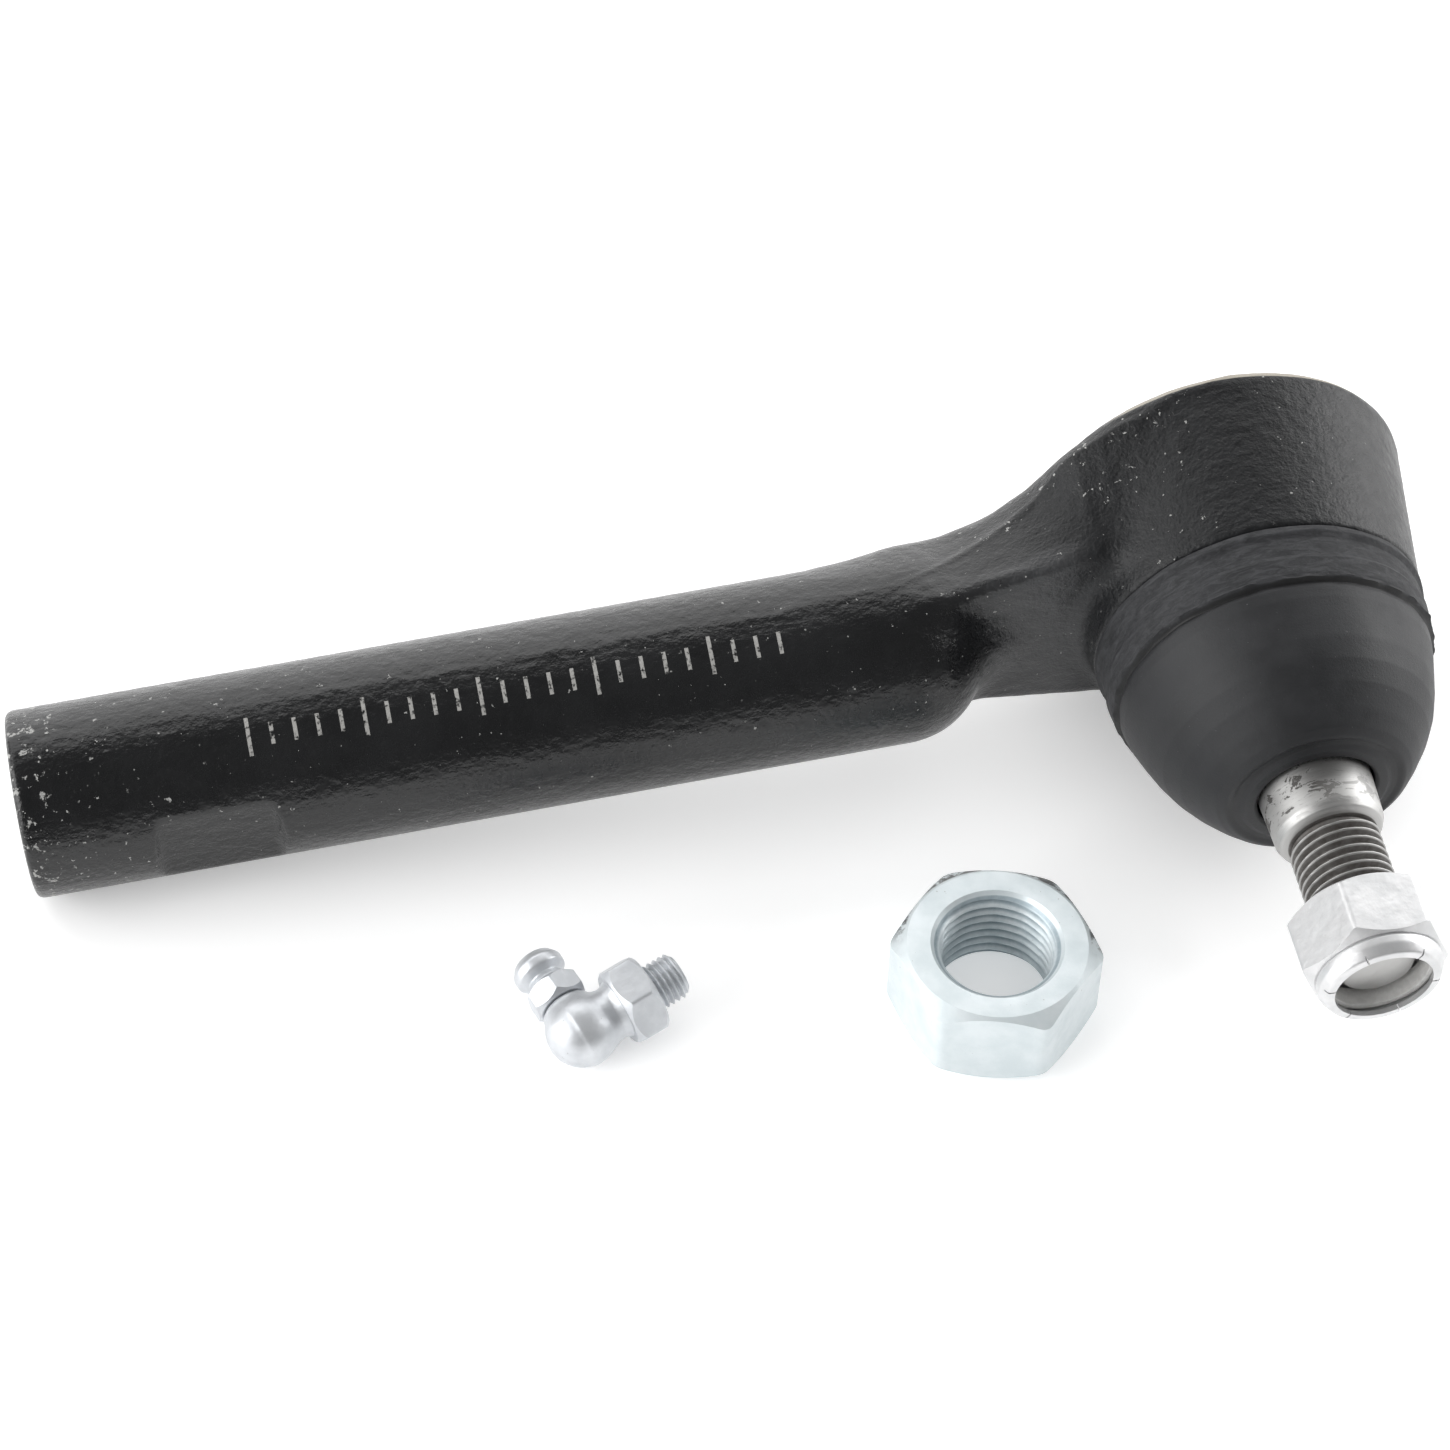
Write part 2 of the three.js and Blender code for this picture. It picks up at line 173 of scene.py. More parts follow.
def sheet_of(rows, ring_of_rows=False):
    """Quads over rows of closed rings; open ends are capped with a fan."""
    rows = np.asarray(rows, float)
    count, sides = rows.shape[:2]
    verts = rows.reshape(-1, 3)
    i = np.arange(count if ring_of_rows else count - 1)[:, None]
    j = np.arange(sides)[None, :]
    a = i * sides + j
    b = i * sides + (j + 1) % sides
    c = ((i + 1) % count) * sides + (j + 1) % sides
    d = ((i + 1) % count) * sides + j
    faces = np.stack([a, b, c, d], -1).reshape(-1, 4).tolist()
    if not ring_of_rows:
        middles = np.array([rows[0].mean(0), rows[-1].mean(0)])
        low, high = len(verts), len(verts) + 1
        verts = np.vstack([verts, middles])
        last = (count - 1) * sides
        for k in range(sides):
            n = (k + 1) % sides
            faces.append([low, n, k])
            faces.append([high, last + k, last + n])
    return verts, faces


def outward(obj):
    """Turns the mesh inside out if its faces point inwards."""
    mesh = obj.data
    verts = np.empty(3 * len(mesh.vertices))
    mesh.vertices.foreach_get("co", verts)
    verts = verts.reshape(-1, 3)
    mesh.calc_loop_triangles()
    tris = np.empty(3 * len(mesh.loop_triangles), int)
    mesh.loop_triangles.foreach_get("vertices", tris)
    a, b, c = (verts[tris.reshape(-1, 3)[:, k]] for k in range(3))
    if np.einsum("ij,ij->i", a, np.cross(b, c)).sum() < 0:
        mesh.flip_normals()
    return obj


def fillet(points, radius, steps=4, closed=False):
    """Rounds a profile's corners: points are (r, s) or (r, s, own radius)."""
    out = []
    count = len(points)
    for k, point in enumerate(points):
        here = np.array(point[:2], float)
        own = point[2] if len(point) > 2 else radius
        if not closed and k in (0, count - 1):
            out.append(here)
            continue
        back = np.array(points[k - 1][:2], float) - here
        ahead = np.array(points[(k + 1) % count][:2], float) - here
        lb, la = np.linalg.norm(back), np.linalg.norm(ahead)
        if lb < 1e-9 or la < 1e-9 or own <= 0:
            out.append(here)
            continue
        back, ahead = back / lb, ahead / la
        half = 0.5 * math.acos(float(np.clip(back @ ahead, -1, 1)))
        if half > math.radians(87) or half < math.radians(4):
            out.append(here)
            continue
        cut = min(own / math.tan(half), 0.45 * lb, 0.45 * la)
        start, end = here + back * cut, here + ahead * cut
        for t in np.linspace(0, 1, steps + 1):
            out.append((1 - t) ** 2 * start + 2 * t * (1 - t) * here + t * t * end)
    return np.array(out)


def resampled(profile, step, closed=False):
    """Adds points so that no stretch of the profile is longer than step."""
    points = np.array(profile, float)
    if closed:
        points = np.vstack([points, points[:1]])
    out = []
    for p, q in zip(points[:-1], points[1:]):
        pieces = max(1, math.ceil(np.linalg.norm(q - p) / step))
        out.extend(p + (q - p) * k / pieces for k in range(pieces))
    if not closed:
        out.append(points[-1])
    return np.array(out)


def about(axis, s, c, d):
    """Points from their station s along an axis and their two places across it."""
    return np.stack({"x": (s, c, d), "y": (d, s, c), "-y": (d, -s, -c), "z": (c, d, s)}[axis], -1)


def revolve(profile, segments, axis="y"):
    """Rings about an axis from (radius, station) pairs."""
    angles = np.linspace(0, 2 * math.pi, segments, endpoint=False)
    r = np.maximum(profile[:, 0], 1e-4)[:, None]
    s = np.repeat(profile[:, 1][:, None], segments, 1)
    return about(axis, s, r * np.cos(angles), r * np.sin(angles))


def lathe(name, points, segments, axis="y", radius=0.25, step=None, closed=None):
    """A turned solid. A profile that leaves the axis closes on itself."""
    if closed is None:
        closed = points[0][0] > 0
    profile = fillet(points, radius, closed=closed)
    if step:
        profile = resampled(profile, step, closed)
    return outward(new_object(name, *sheet_of(revolve(profile, segments, axis), closed)))


def hex_bar(name, flats, low, high, phase, axis, edge):
    """Hexagonal bar with rounded long edges; phase is its first corner's angle."""
    corner = flats / math.sqrt(3)
    angles = phase + np.arange(6) * math.pi / 3
    corners = corner * np.stack([np.cos(angles), np.sin(angles)], -1)
    ring = fillet(corners, edge, steps=6, closed=True)
    rows = [about(axis, np.full(len(ring), s), ring[:, 0], ring[:, 1]) for s in (low, high)]
    return outward(new_object(name, *sheet_of(rows)))


def barrel(flats, low, high, drop, inset):
    """Profile that trims a hexagon's corners to the curved chamfer of a turned nut."""
    corner = flats / math.sqrt(3) + 0.02
    face = flats / 2 - inset
    side = [(corner, low + drop), (corner, high - drop)]
    return [(0, low), (face, low), *side, (face, high), (0, high)]


def thread_rows(outer, inner, pitch, low, high, segments, per_turn=12, fade=1.0):
    """Rings of a helical V thread between two stations, fading to the inner radius at its ends."""
    tip = 0.22
    stations = np.arange(low, high + 1e-9, pitch / per_turn)
    angles = np.linspace(0, 2 * math.pi, segments, endpoint=False)
    s, a = np.meshgrid(stations, angles, indexing="ij")
    phase = (s / pitch - a / (2 * math.pi)) % 1.0
    wave = np.clip((1 - np.abs(2 * phase - 1) - tip / 2) / (1 - tip), 0, 1)
    ease = np.clip(np.minimum((s - low) / (fade * pitch), (high - s) / (fade * pitch)), 0, 1)
    radius = inner + (outer - inner) * wave * ease
    return s, radius * np.cos(a), radius * np.sin(a)


def thread_rod(name, outer, inner, pitch, low, high, segments, axis, **detail):
    """Closed threaded bar, used as a piece or as the cutter of a threaded hole."""
    rows = about(axis, *thread_rows(outer, inner, pitch, low, high, segments, **detail))
    return outward(new_object(name, *sheet_of(rows)))


def boolean(obj, other, operation):
    """Joins or cuts two closed meshes and keeps the result on obj."""
    modifier = obj.modifiers.new("bool", "BOOLEAN")
    modifier.operation = operation
    modifier.solver = "EXACT"
    modifier.object = other
    bake(obj)
    bpy.data.objects.remove(other)
    return obj


def bake(obj):
    """Applies an object's modifiers to its mesh."""
    graph = bpy.context.evaluated_depsgraph_get()
    graph.update()
    mesh = bpy.data.meshes.new_from_object(obj.evaluated_get(graph))
    old = obj.data
    obj.modifiers.clear()
    obj.data = mesh
    bpy.data.meshes.remove(old)
    return obj


def bevelled(obj, width, angle=35, segments=2):
    modifier = obj.modifiers.new("bevel", "BEVEL")
    modifier.width = width
    modifier.segments = segments
    modifier.limit_method = "ANGLE"
    modifier.angle_limit = math.radians(angle)
    modifier.harden_normals = False
    return bake(obj)


def cleaned(obj, distance=1e-4):
    """Merges doubled points and drops faces without area."""
    bm = bmesh.new()
    bm.from_mesh(obj.data)
    bmesh.ops.remove_doubles(bm, verts=bm.verts, dist=distance)
    bmesh.ops.dissolve_degenerate(bm, dist=distance, edges=bm.edges)
    bm.to_mesh(obj.data)
    bm.free()
    return obj


def points_of(obj):
    values = np.empty(3 * len(obj.data.vertices))
    obj.data.vertices.foreach_get("co", values)
    return values.reshape(-1, 3)


def settle(obj, matrix, body, material, nodes, sharp=32):
    """Stores the piece's own millimetres for its material, then puts it in the row's frame."""
    local = points_of(obj)
    stored = obj.data.attributes.new("mm", "FLOAT_VECTOR", "POINT")
    stored.data.foreach_set("vector", local.astype(np.float32).ravel())
    obj.data.transform(matrix)
    obj.data.polygons.foreach_set("use_smooth", np.ones(len(obj.data.polygons), bool))
    obj.data.set_sharp_from_angle(angle=math.radians(sharp))
    obj.data.materials.clear()
    obj.data.materials.append(material)
    obj.data.update()
    if body:
        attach(obj, body)
    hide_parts(*nodes)
    return obj


# ---- implicit forging ---------------------------------------------------------------------------
def soft_min(a, b, k):
    h = np.clip(0.5 + 0.5 * (b - a) / k, 0, 1)
    return b * (1 - h) + a * h - k * h * (1 - h)


def soft_max(a, b, k):
    return -soft_min(-a, -b, k)


def shank_field(p):
    x, y, z = p.T
    r = np.hypot(y, z)
    field = r - SHANK_R
    field = soft_max(field, SHANK_END_X - x, 1.2)
    nose = (x - SHANK_NOSE_X) * 0.8 + (r - 4.5) * 0.6
    field = soft_max(field, nose, 5.0)
    inside = np.clip((x - FLATS_FROM + 0.5) / 2.2, 0, 1) * np.clip((FLATS_TO + 0.5 - x) / 2.2, 0, 1)
    inside = inside * inside * (3 - 2 * inside)
    half = SHANK_R + 0.3 - (SHANK_R + 0.3 - FLATS_HALF) * inside
    return soft_max(field, np.abs(y) - half, 0.3)


ARM_X = (-53, -47, -42.7, -36.9, -31.1, -26.5, -23.5, -20.5, -17, -12.5, -7, 0)
ARM_FRONT = (6, 9, 11.2, 12.4, 13.5, 14.3, 14.8, 15.1, 15.1, 14.6, 13.2, 12.2)
ARM_BACK = (6, 7, 7.8, 8.7, 10.4, 13, 16, 19, 21, 22.4, 23.2, 23.6)
ARM_BACK_Y = (8, 10.5, 11.8, 13.4, 14.2, 14.7, 14.9, 14.9, 14.9, 14.9, 14.9, 14.9)
PARTING_X = (-60, -46, -30, -22, -12, -5, 14, 24)
PARTING_Y = (0.2, 1.5, 8.5, 12.4, 13.4, 15.8, 15.8, 13.6)


def parting_line(x):
    """Where the two forging dies met: mid shank, then stepping towards the cover on the arm."""
    return np.interp(x, PARTING_X, PARTING_Y)


def arm_field(p):
    x, y, z = p.T
    back_y = np.interp(x, ARM_X, ARM_BACK_Y)
    front, back = np.interp(x, ARM_X, ARM_FRONT), np.interp(x, ARM_X, ARM_BACK)
    share = np.clip((y - ARM_FRONT_Y) / (back_y - ARM_FRONT_Y), 0, 1)
    half = front + (back - front) * share
    half = half - 0.3 * np.maximum(0, y - parting_line(x)) * np.clip((x + 45) / 12, 0, 1)
    field = np.abs(z) - half
    field = soft_max(field, ARM_FRONT_Y - y, 2.4)
    field = soft_max(field, y - back_y, 3.2)
    return soft_max(soft_max(field, -54 - x, 4), x - 2, 4)


def head_field(p):
    """Cone up to the machined rim, and the lipped spigot that the boot grips."""
    x, y, z = p.T
    r = np.hypot(x, z)
    wall = np.interp(y, (COLLAR_SEAT_Y, RIM_Y), (COLLAR_SEAT_R, RIM_R))
    edge = math.cos(RIM_CHAMFER) * (r - wall) + math.sin(RIM_CHAMFER) * (y - HEAD_BACK_Y) + 0.62
    cone = soft_max(soft_max(r - wall, edge, 0.3), y - HEAD_BACK_Y, 0.3)
    cone = soft_max(cone, COLLAR_SEAT_Y - y, 0.7)
    neck = np.maximum(r - SPIGOT_R, np.maximum(SPIGOT_END_Y - y, y + 6))
    lip = np.maximum(r - SPIGOT_R - 0.8, np.abs(y - SPIGOT_END_Y - 0.8) - 0.8)
    return np.minimum(cone, np.minimum(neck, lip))


def flash_height(p):
    """The trimmed flash of the forging dies: along the shank's top and bottom, stepping back on the arm."""
    x, y, z = p.T
    wander = 0.25 * np.sin(0.31 * x) + 0.15 * np.sin(0.83 * x + 1.1)
    near = np.exp(-(((y - parting_line(x) - wander) / 0.55) ** 2))
    height = (0.08 + 0.08 * np.clip((x + 50) / 14, 0, 1)) * (1 + 0.3 * np.sin(0.47 * x + np.sign(z)))
    ends = np.clip((x - FLATS_TO - 1) / 5, 0, 1) * (1 - 0.65 * np.clip((x + 4) / 12, 0, 1))
    return near * height * ends


def forging_field(p):
    body = soft_min(shank_field(p), arm_field(p), 4.6)
    body = soft_min(body, head_field(p), 2.6)
    x, y, z = p.T
    ripple = np.sin(0.55 * x + 0.9 * z) * np.sin(0.41 * z - 0.37 * y + 0.6)
    fine = np.sin(1.9 * x + 1.3 * y) * np.sin(1.7 * z + 0.8 * y)
    outside = np.clip((y - COLLAR_SEAT_Y) / 1.5, 0, 1)
    return body - flash_height(p) - outside * (0.02 * ripple + 0.012 * fine)


def onto_surface(points, field, rounds=5, reach=0.6):
    """Moves points to where a field is zero, down its slope."""
    h = 0.02
    p = points.copy()
    for _ in range(rounds):
        value = field(p)
        slope = np.stack(
            [(field(p + step) - field(p - step)) / (2 * h) for step in h * np.eye(3)], -1
        )
        size = np.maximum((slope**2).sum(-1), 0.05)
        move = np.clip(value / size, -reach, reach)
        p -= move[:, None] * slope
    return p


def remeshed(obj, voxel):
    modifier = obj.modifiers.new("voxels", "REMESH")
    modifier.mode = "VOXEL"
    modifier.voxel_size = voxel
    modifier.adaptivity = 0
    return bake(obj)


def joined(parts):
    """Joins meshes into one object without merging them."""
    verts, faces, base = [], [], 0
    for part in parts:
        verts.append(points_of(part))
        faces.extend([base + v for v in polygon.vertices] for polygon in part.data.polygons)
        base += len(part.data.vertices)
        bpy.data.objects.remove(part)
    return new_object("joined", np.vstack(verts), faces)


def arm_blank():
    """Rough arm for the remesh to start from."""
    rows = []
    for x, front, back, back_y in zip(ARM_X, ARM_FRONT, ARM_BACK, ARM_BACK_Y):
        low, high = ARM_FRONT_Y, back_y
        corners = [(low, -front), (high, -back), (high, back), (low, front)]
        rows.append([(x, y, z) for y, z in corners])
    return outward(new_object("arm_blank", *sheet_of(rows)))


def socket_cutter():
    inner = [
        (0, -16),
        (13.9, -15.4),
        (11.5, -8.1),
        (SOCKET_R, -4.9),
        (SOCKET_R, COVER_LOW - 0.3),
        (COVER_SEAT_R, COVER_LOW - 0.3),
        (COVER_SEAT_R, COVER_HIGH + 0.3),
        (17.0, COVER_HIGH + 0.3),
        (17.4, HEAD_BACK_Y + 1),
        (0, HEAD_BACK_Y + 1),
    ]
    return lathe("socket_cutter", inner, 144, "y", radius=0.15)


def bore_cutter():
    end = SHANK_END_X
    bottom = end + BORE_DEPTH
    size = (BORE_MAJOR_R, BORE_MINOR_R, BORE_PITCH)
    thread = thread_rod("bore_cutter", *size, end - 1.5, bottom, 72, "x", per_turn=10)
    mouth = [(0, end - 2), (10.2, end - 2), (8.9, end), (6.6, end + 2.3), (0, end + 2.3)]
    boolean(thread, lathe("mouth", mouth, 96, "x", 0.05), "UNION")
    tip = [(0, end + 50), (6.9, end + 50), (6.9, bottom), (0, bottom + 4)]
    return boolean(thread, lathe("tip", tip, 72, "x", 0.05), "UNION")


def socket_housing():
    bar = [(0, SHANK_END_X), (SHANK_R, SHANK_END_X), (SHANK_R, SHANK_SHOULDER_X + 3)]
    bar += [(5, SHANK_NOSE_X), (0, SHANK_NOSE_X)]
    cone = [(0, SPIGOT_END_Y), (18.6, SPIGOT_END_Y)]
    cone += [(SPIGOT_R, COLLAR_SEAT_Y), (21.9, COLLAR_SEAT_Y)]
    cone += [(24.8, 10.6), (24.4, HEAD_BACK_Y), (0, HEAD_BACK_Y)]
    shank = lathe("shank_blank", bar, 96, "x")
    head = lathe("head_blank", cone, 144, "y")
    obj = joined([shank, arm_blank(), head])
    remeshed(obj, 0.4)
    moved = onto_surface(points_of(obj), forging_field)
    obj.data.vertices.foreach_set("co", moved.ravel())
    obj.data.update()
    boolean(obj, socket_cutter(), "DIFFERENCE")
    boolean(obj, bore_cutter(), "DIFFERENCE")
    obj.name = "socket_housing_forging"
    return settle(cleaned(obj), ROD, "socket", black_paint(), ["socket_housing"], sharp=40)


# ---- turned and hexagonal pieces ------------------------------------------------------------------
def cover_plate():
    profile = [
        (2.5, COVER_LOW),
        (18.6, COVER_LOW),
        (18.6, COVER_HIGH),
        (14.5, COVER_HIGH, 0.8),
        (13.2, COVER_HIGH - 0.35, 0.8),
        (8.2, COVER_HIGH - 0.35, 0.8),
        (7.2, COVER_HIGH, 0.5),
        (6, COVER_HIGH + 0.2, 0.5),
        (6, BOSS_Y),
        (3.1, BOSS_Y),
        (2.5, BOSS_Y - 0.6),
    ]
    obj = lathe("cover_plate_pressed", profile, 128, "y", 0.25)
    return settle(obj, ROD, "socket", cover_steel(), ["cover_plate"])


def sphere_arc(radius, low, high, steps):
    angles = np.linspace(math.asin(low / radius), math.asin(high / radius), steps)
    return [(radius * math.cos(a), radius * math.sin(a), 0) for a in angles]


def sphere_profile(radius, steps):
    end = radius * 0.999
    return [(0, -radius), *sphere_arc(radius, -end, end, steps), (0, radius)]


def ball_stud():
    segments = 144
    start = math.sqrt(BALL_R**2 - NECK_R**2)
    plain = [(0, -8.7), *sphere_arc(BALL_R, -8.7, start, 40)]
    plain += [(NECK_R, 24, 1.5), (6.4, 26, 1.5), (7.6, 28.6, 1), (7.2, 39.7, 0.9)]
    plain += [(6.75, TAPER_END, 0.5), (5.75, THREAD_FROM)]
    body = revolve(fillet(plain, 0.4), segments, "-y")
    ends = (THREAD_FROM + 0.05, STUD_END - 0.9)
    thread = thread_rows(STUD_R, STUD_R - 0.77, STUD_PITCH, *ends, segments, per_turn=14, fade=0.6)
    point = [(5.1, STUD_END - 0.75), (4.6, STUD_END - 0.1), (4.2, STUD_END), (0, STUD_END)]
    nose = revolve(np.array(point), segments, "-y")
    rows = np.vstack([body, about("-y", *thread), nose])
    obj = outward(new_object("ball_stud_turned", *sheet_of(rows)))
    return settle(obj, STUD, "stud", stud_steel(), ["ball_stud"])


def nut_body(name, flats, low, high, phase, axis, drop, edge=0.9, inset=0.25):
    obj = hex_bar(name, flats, low - 1, high + 1, phase, axis, edge)
    boolean(obj, lathe("trim", barrel(flats, low, high, drop, inset), 180, axis, 0.05), "INTERSECT")
    return obj


def lock_nut():
    obj = nut_body("lock_nut_crimped", NUT_FLATS, NUT_BACK, NUT_HEX_END, NUT_PHASE, "-y", 1.1)
    collar = [(0, 56), (8.15, 56), (7.95, NUT_END - 2.75, 0.2), (8.15, NUT_END - 2.3, 0.3)]
    collar += [(8.1, NUT_END - 1.3, 0.9), (7.35, NUT_END, 0.6), (0, NUT_END)]
    boolean(obj, lathe("collar", collar, 144, "-y", 0.3), "UNION")
    hole = [
        (0, NUT_END - 5),
        (7.5, NUT_END - 5),
        (7.5, NUT_END - 1.1),
        (6.35, NUT_END - 0.75),
        (6.35, NUT_END + 1),
        (0, NUT_END + 1),
    ]
    boolean(obj, lathe("hole", hole, 144, "-y", 0.1), "DIFFERENCE")
    ends = (NUT_BACK - 1.2, NUT_END - 4.2)
    cutter = thread_rod("nut_thread", 6.95, 6.32, STUD_PITCH, *ends, 96, "-y", per_turn=10)
    boolean(obj, cutter, "DIFFERENCE")
    mouth = [(0, NUT_BACK - 1), (8.2, NUT_BACK - 1), (7.2, NUT_BACK), (6.3, NUT_BACK + 0.9)]
    mouth.append((0, NUT_BACK + 0.9))
    boolean(obj, lathe("mouth", mouth, 96, "-y", 0.05), "DIFFERENCE")
    for k in range(6):
        crease = lathe("crease", [(0, -0.5), (0.13, -0.42), (0.13, 0.42), (0, 0.5)], 12, "y", 0.05)
        turn = Matrix.Rotation(SLIT_PHASE + k * math.pi / 3, 4, "Y")
        place = turn @ Matrix.Translation((0, -NUT_END + 0.2, 7.1))
        crease.data.transform(place @ Matrix.Diagonal((1, 1, 7, 1)))
        boolean(obj, crease, "DIFFERENCE")
    obj = cleaned(bevelled(obj, 0.12))
    return settle(obj, STUD, "lock_nut", bright_zinc(), ["lock_nut"], sharp=40)


def nylon_insert():
    back, front = NUT_END - 4.2, NUT_END - 1.5
    profile = [(6.35, back), (7.2, back), (7.2, front - 0.1), (6.8, front), (6.35, front - 0.2)]
    obj = lathe("nylon_insert_ring", profile, 120, "-y", 0.12)
    return settle(obj, STUD, "nut_travel", nylon(), ["nylon_insert"])


def jam_nut():
    obj = nut_body("jam_nut_plated", JAM_FLATS, 0, JAM_HEIGHT, 0, "z", 1.8, 2.0, 0.45)
    size = (BORE_MAJOR_R, BORE_MINOR_R, BORE_PITCH)
    cutter = thread_rod("jam_thread", *size, -1.5, JAM_HEIGHT + 1.5, 120, "z")
    boolean(obj, cutter, "DIFFERENCE")
    deep = JAM_SINK_R - BORE_MINOR_R + 0.4
    for low, high in ((0, deep), (JAM_HEIGHT, JAM_HEIGHT - deep)):
        out = low + math.copysign(1, low - high)
        sink = [(0, out), (JAM_SINK_R + 1, out), (JAM_SINK_R, low)]
        sink += [(BORE_MINOR_R - 0.4, high), (0, high)]
        boolean(obj, lathe("sink", sink, 144, "z", 0.05), "DIFFERENCE")
    obj = cleaned(bevelled(obj, 0.3, angle=20, segments=3))
    return settle(obj, JAM, "jam_nut", blue_zinc(), ["jam_nut"], sharp=40)


def elbow_field(p):
    x, y, z = p.T
    ball = np.sqrt((p**2).sum(-1)) - ELBOW_R
    r = np.hypot(y, z)
    neck = soft_max(r - np.interp(x, (0, 3, 4.4, 6.4), (3.9, 3.3, 3.45, 4.5)), x - 6.4, 0.3)
    neck = np.maximum(neck, -x)
    collar = np.maximum(np.hypot(x, z) - 3.3, np.maximum(y - 4.35, -y))
    return soft_min(soft_min(ball, neck, 1.6), collar, 0.8)


def grease_elbow():
    ball = lathe("elbow", sphere_profile(ELBOW_R, 40), 64, "y", 0)
    neck = lathe("neck", [(0, 0), (3.8, 0), (3.4, 4), (4.4, 6.4), (0, 6.4)], 48, "x", 0)
    obj = remeshed(joined([ball, neck]), 0.2)
    moved = onto_surface(points_of(obj), elbow_field, reach=0.2)
    obj.data.vertices.foreach_set("co", moved.ravel())
    obj.data.update()
    hexagon = (ELBOW_HEX_FROM, ELBOW_HEX_TO)
    boolean(obj, nut_body("elbow_hex", ELBOW_FLATS, *hexagon, 0, "x", 1.0, 0.5), "UNION")
    size = (FITTING_THREAD_R, 2.65, FITTING_PITCH)
    ends = (ELBOW_HEX_TO - 0.8, FITTING_THREAD_END)
    thread = thread_rod("elbow_thread", *size, *ends, 72, "x", per_turn=14, fade=0.5)
    boolean(obj, thread, "UNION")
    tip = FITTING_THREAD_END + 0.3
    nose = [(0, 12), (2.45, 12), (2.45, tip), (0, tip)]
    passage = [(0, -0.5), (1.2, -0.5), (1.2, tip + 0.8), (0, tip + 0.8)]
    seat = [(0, -0.5), (2.2, -0.5), (2.2, 6), (0, 6)]
    boolean(obj, lathe("nose", nose, 48, "x", 0.2), "UNION")
    boolean(obj, lathe("passage", passage, 32, "x", 0), "DIFFERENCE")
    boolean(obj, lathe("seat", seat, 32, "y", 0), "DIFFERENCE")
    obj.name = "grease_elbow_plated"
    return settle(cleaned(obj), ELBOW, "fitting", satin_zinc(), ["grease_elbow"], sharp=38)


def grease_nipple():
    obj = nut_body("grease_nipple_pressed", NIPPLE_FLATS, 4.5, 7.9, 0, "y", 0.8, 0.35)
    head = [
        (0, 1.6),
        (1.9, 1.6),
        (1.9, 5),
        (2.75, 5),
        (2.75, 8.2, 0.3),
        (2.4, 8.8, 0.4),
        (2.4, 9.0, 0.5),
        (3.45, 9.7, 0.5),
        (3.5, 10.9, 0.9),
        (2.7, 12.1, 0.9),
        (1.3, NIPPLE_LENGTH, 0.3),
        (0, NIPPLE_LENGTH),
    ]
    boolean(obj, lathe("head", head, 72, "y", 0.15), "UNION")
    passage = [(0, 1), (0.6, 1), (0.6, 6.2), (1.6, 6.2), (1.6, 11.1), (0.9, 11.7), (0.9, 13), (0, 13)]
    boolean(obj, lathe("passage", passage, 40, "y", 0.05), "DIFFERENCE")
    return settle(cleaned(obj), ELBOW, "fitting", satin_zinc(), ["grease_nipple"], sharp=38)


def check_ball():
    obj = lathe("check_ball_polished", sphere_profile(CHECK_BALL_R, 24), 40, "y", 0)
    obj.data.transform(Matrix.Translation((0, CHECK_BALL_Y, 0)))
    return settle(obj, ELBOW, "check_ball", polished_steel(), ["check_ball"])


def check_spring():
    turns, sides, steps = 3, 10, 40
    t = np.linspace(0, 1, turns * steps + 1)
    angle = 2 * math.pi * turns * t
    coil_r, wire_r = 0.95, 0.18
    middle = np.stack([coil_r * np.cos(angle), 6.75 + 1.5 * t, coil_r * np.sin(angle)], -1)
    out = np.stack([np.cos(angle), np.zeros_like(t), np.sin(angle)], -1)
    up = np.array([0, 1, 0])
    around = np.linspace(0, 2 * math.pi, sides, endpoint=False)
    across, along = np.cos(around)[:, None], np.sin(around)[:, None]
    rows = [m + wire_r * (across * o + along * up) for m, o in zip(middle, out)]
    obj = outward(new_object("check_spring_coil", *sheet_of(rows)))
    settle(obj, ELBOW, None, spring_steel(), ["check_spring"])
    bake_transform(obj)
    return obj


# ---- boot: (radius, distance from the ball's centre, corner radius) ---------------------------------
BOOT_FLASH = 15.05
BOOT_LIP_OUT = 29.0
BOOT_OUTSIDE = [
    (18.5, 7.28),
    (21.95, 7.28, 0.15),
    (22.1, 8.2, 0.4),
    (21.6, 9.0, 0.3),
    (21.5, 11.6, 0.3),
    (21.75, 12.2, 0.3),
    (21.5, 14.6, 0.3),
    (20.95, 15.6, 0.6),
    (20.6, 17.8, 3),
    (19.9, 20.4, 3),
    (19.1, 23.1, 3),
    (18, 25.8, 3),
    (16.5, 28.4, 3),
    (14.5, 31.1, 3),
    (12.9, 32.9, 1.6),
    (11.7, 33.75, 0.8),
    (10.9, 33.45, 0.8),
    (10.1, 33.5, 0.6),
    (9.4, 34.05, 0.5),
    (8.2, 34.1, 0.35),
    (7.75, 33.7, 0.2),
]
BOOT_INSIDE = [
    (7.8, 32.7, 0.1),
    (9.6, 32.7, 0.1),
    (9.6, 29.9, 0.1),
    (7.9, 29.9, 0.1),
    (7.9, 29.3, 0.2),
    (12, 29.2, 1.5),
    (14.5, 27.6, 2),
    (16.2, 25, 2),
    (17.4, 22, 2),
    (18.3, 19, 2),
    (19.1, 16.5, 1),
    (19.5, 15.2, 0.5),
    (19.5, 12.6, 0.1),
    (18.5, 12.6, 0.1),
    (18.5, 11.6, 0.1),
    (20.3, 11.6, 0.1),
    (20.3, 9, 0.1),
    (18.5, 9, 0.1),
]


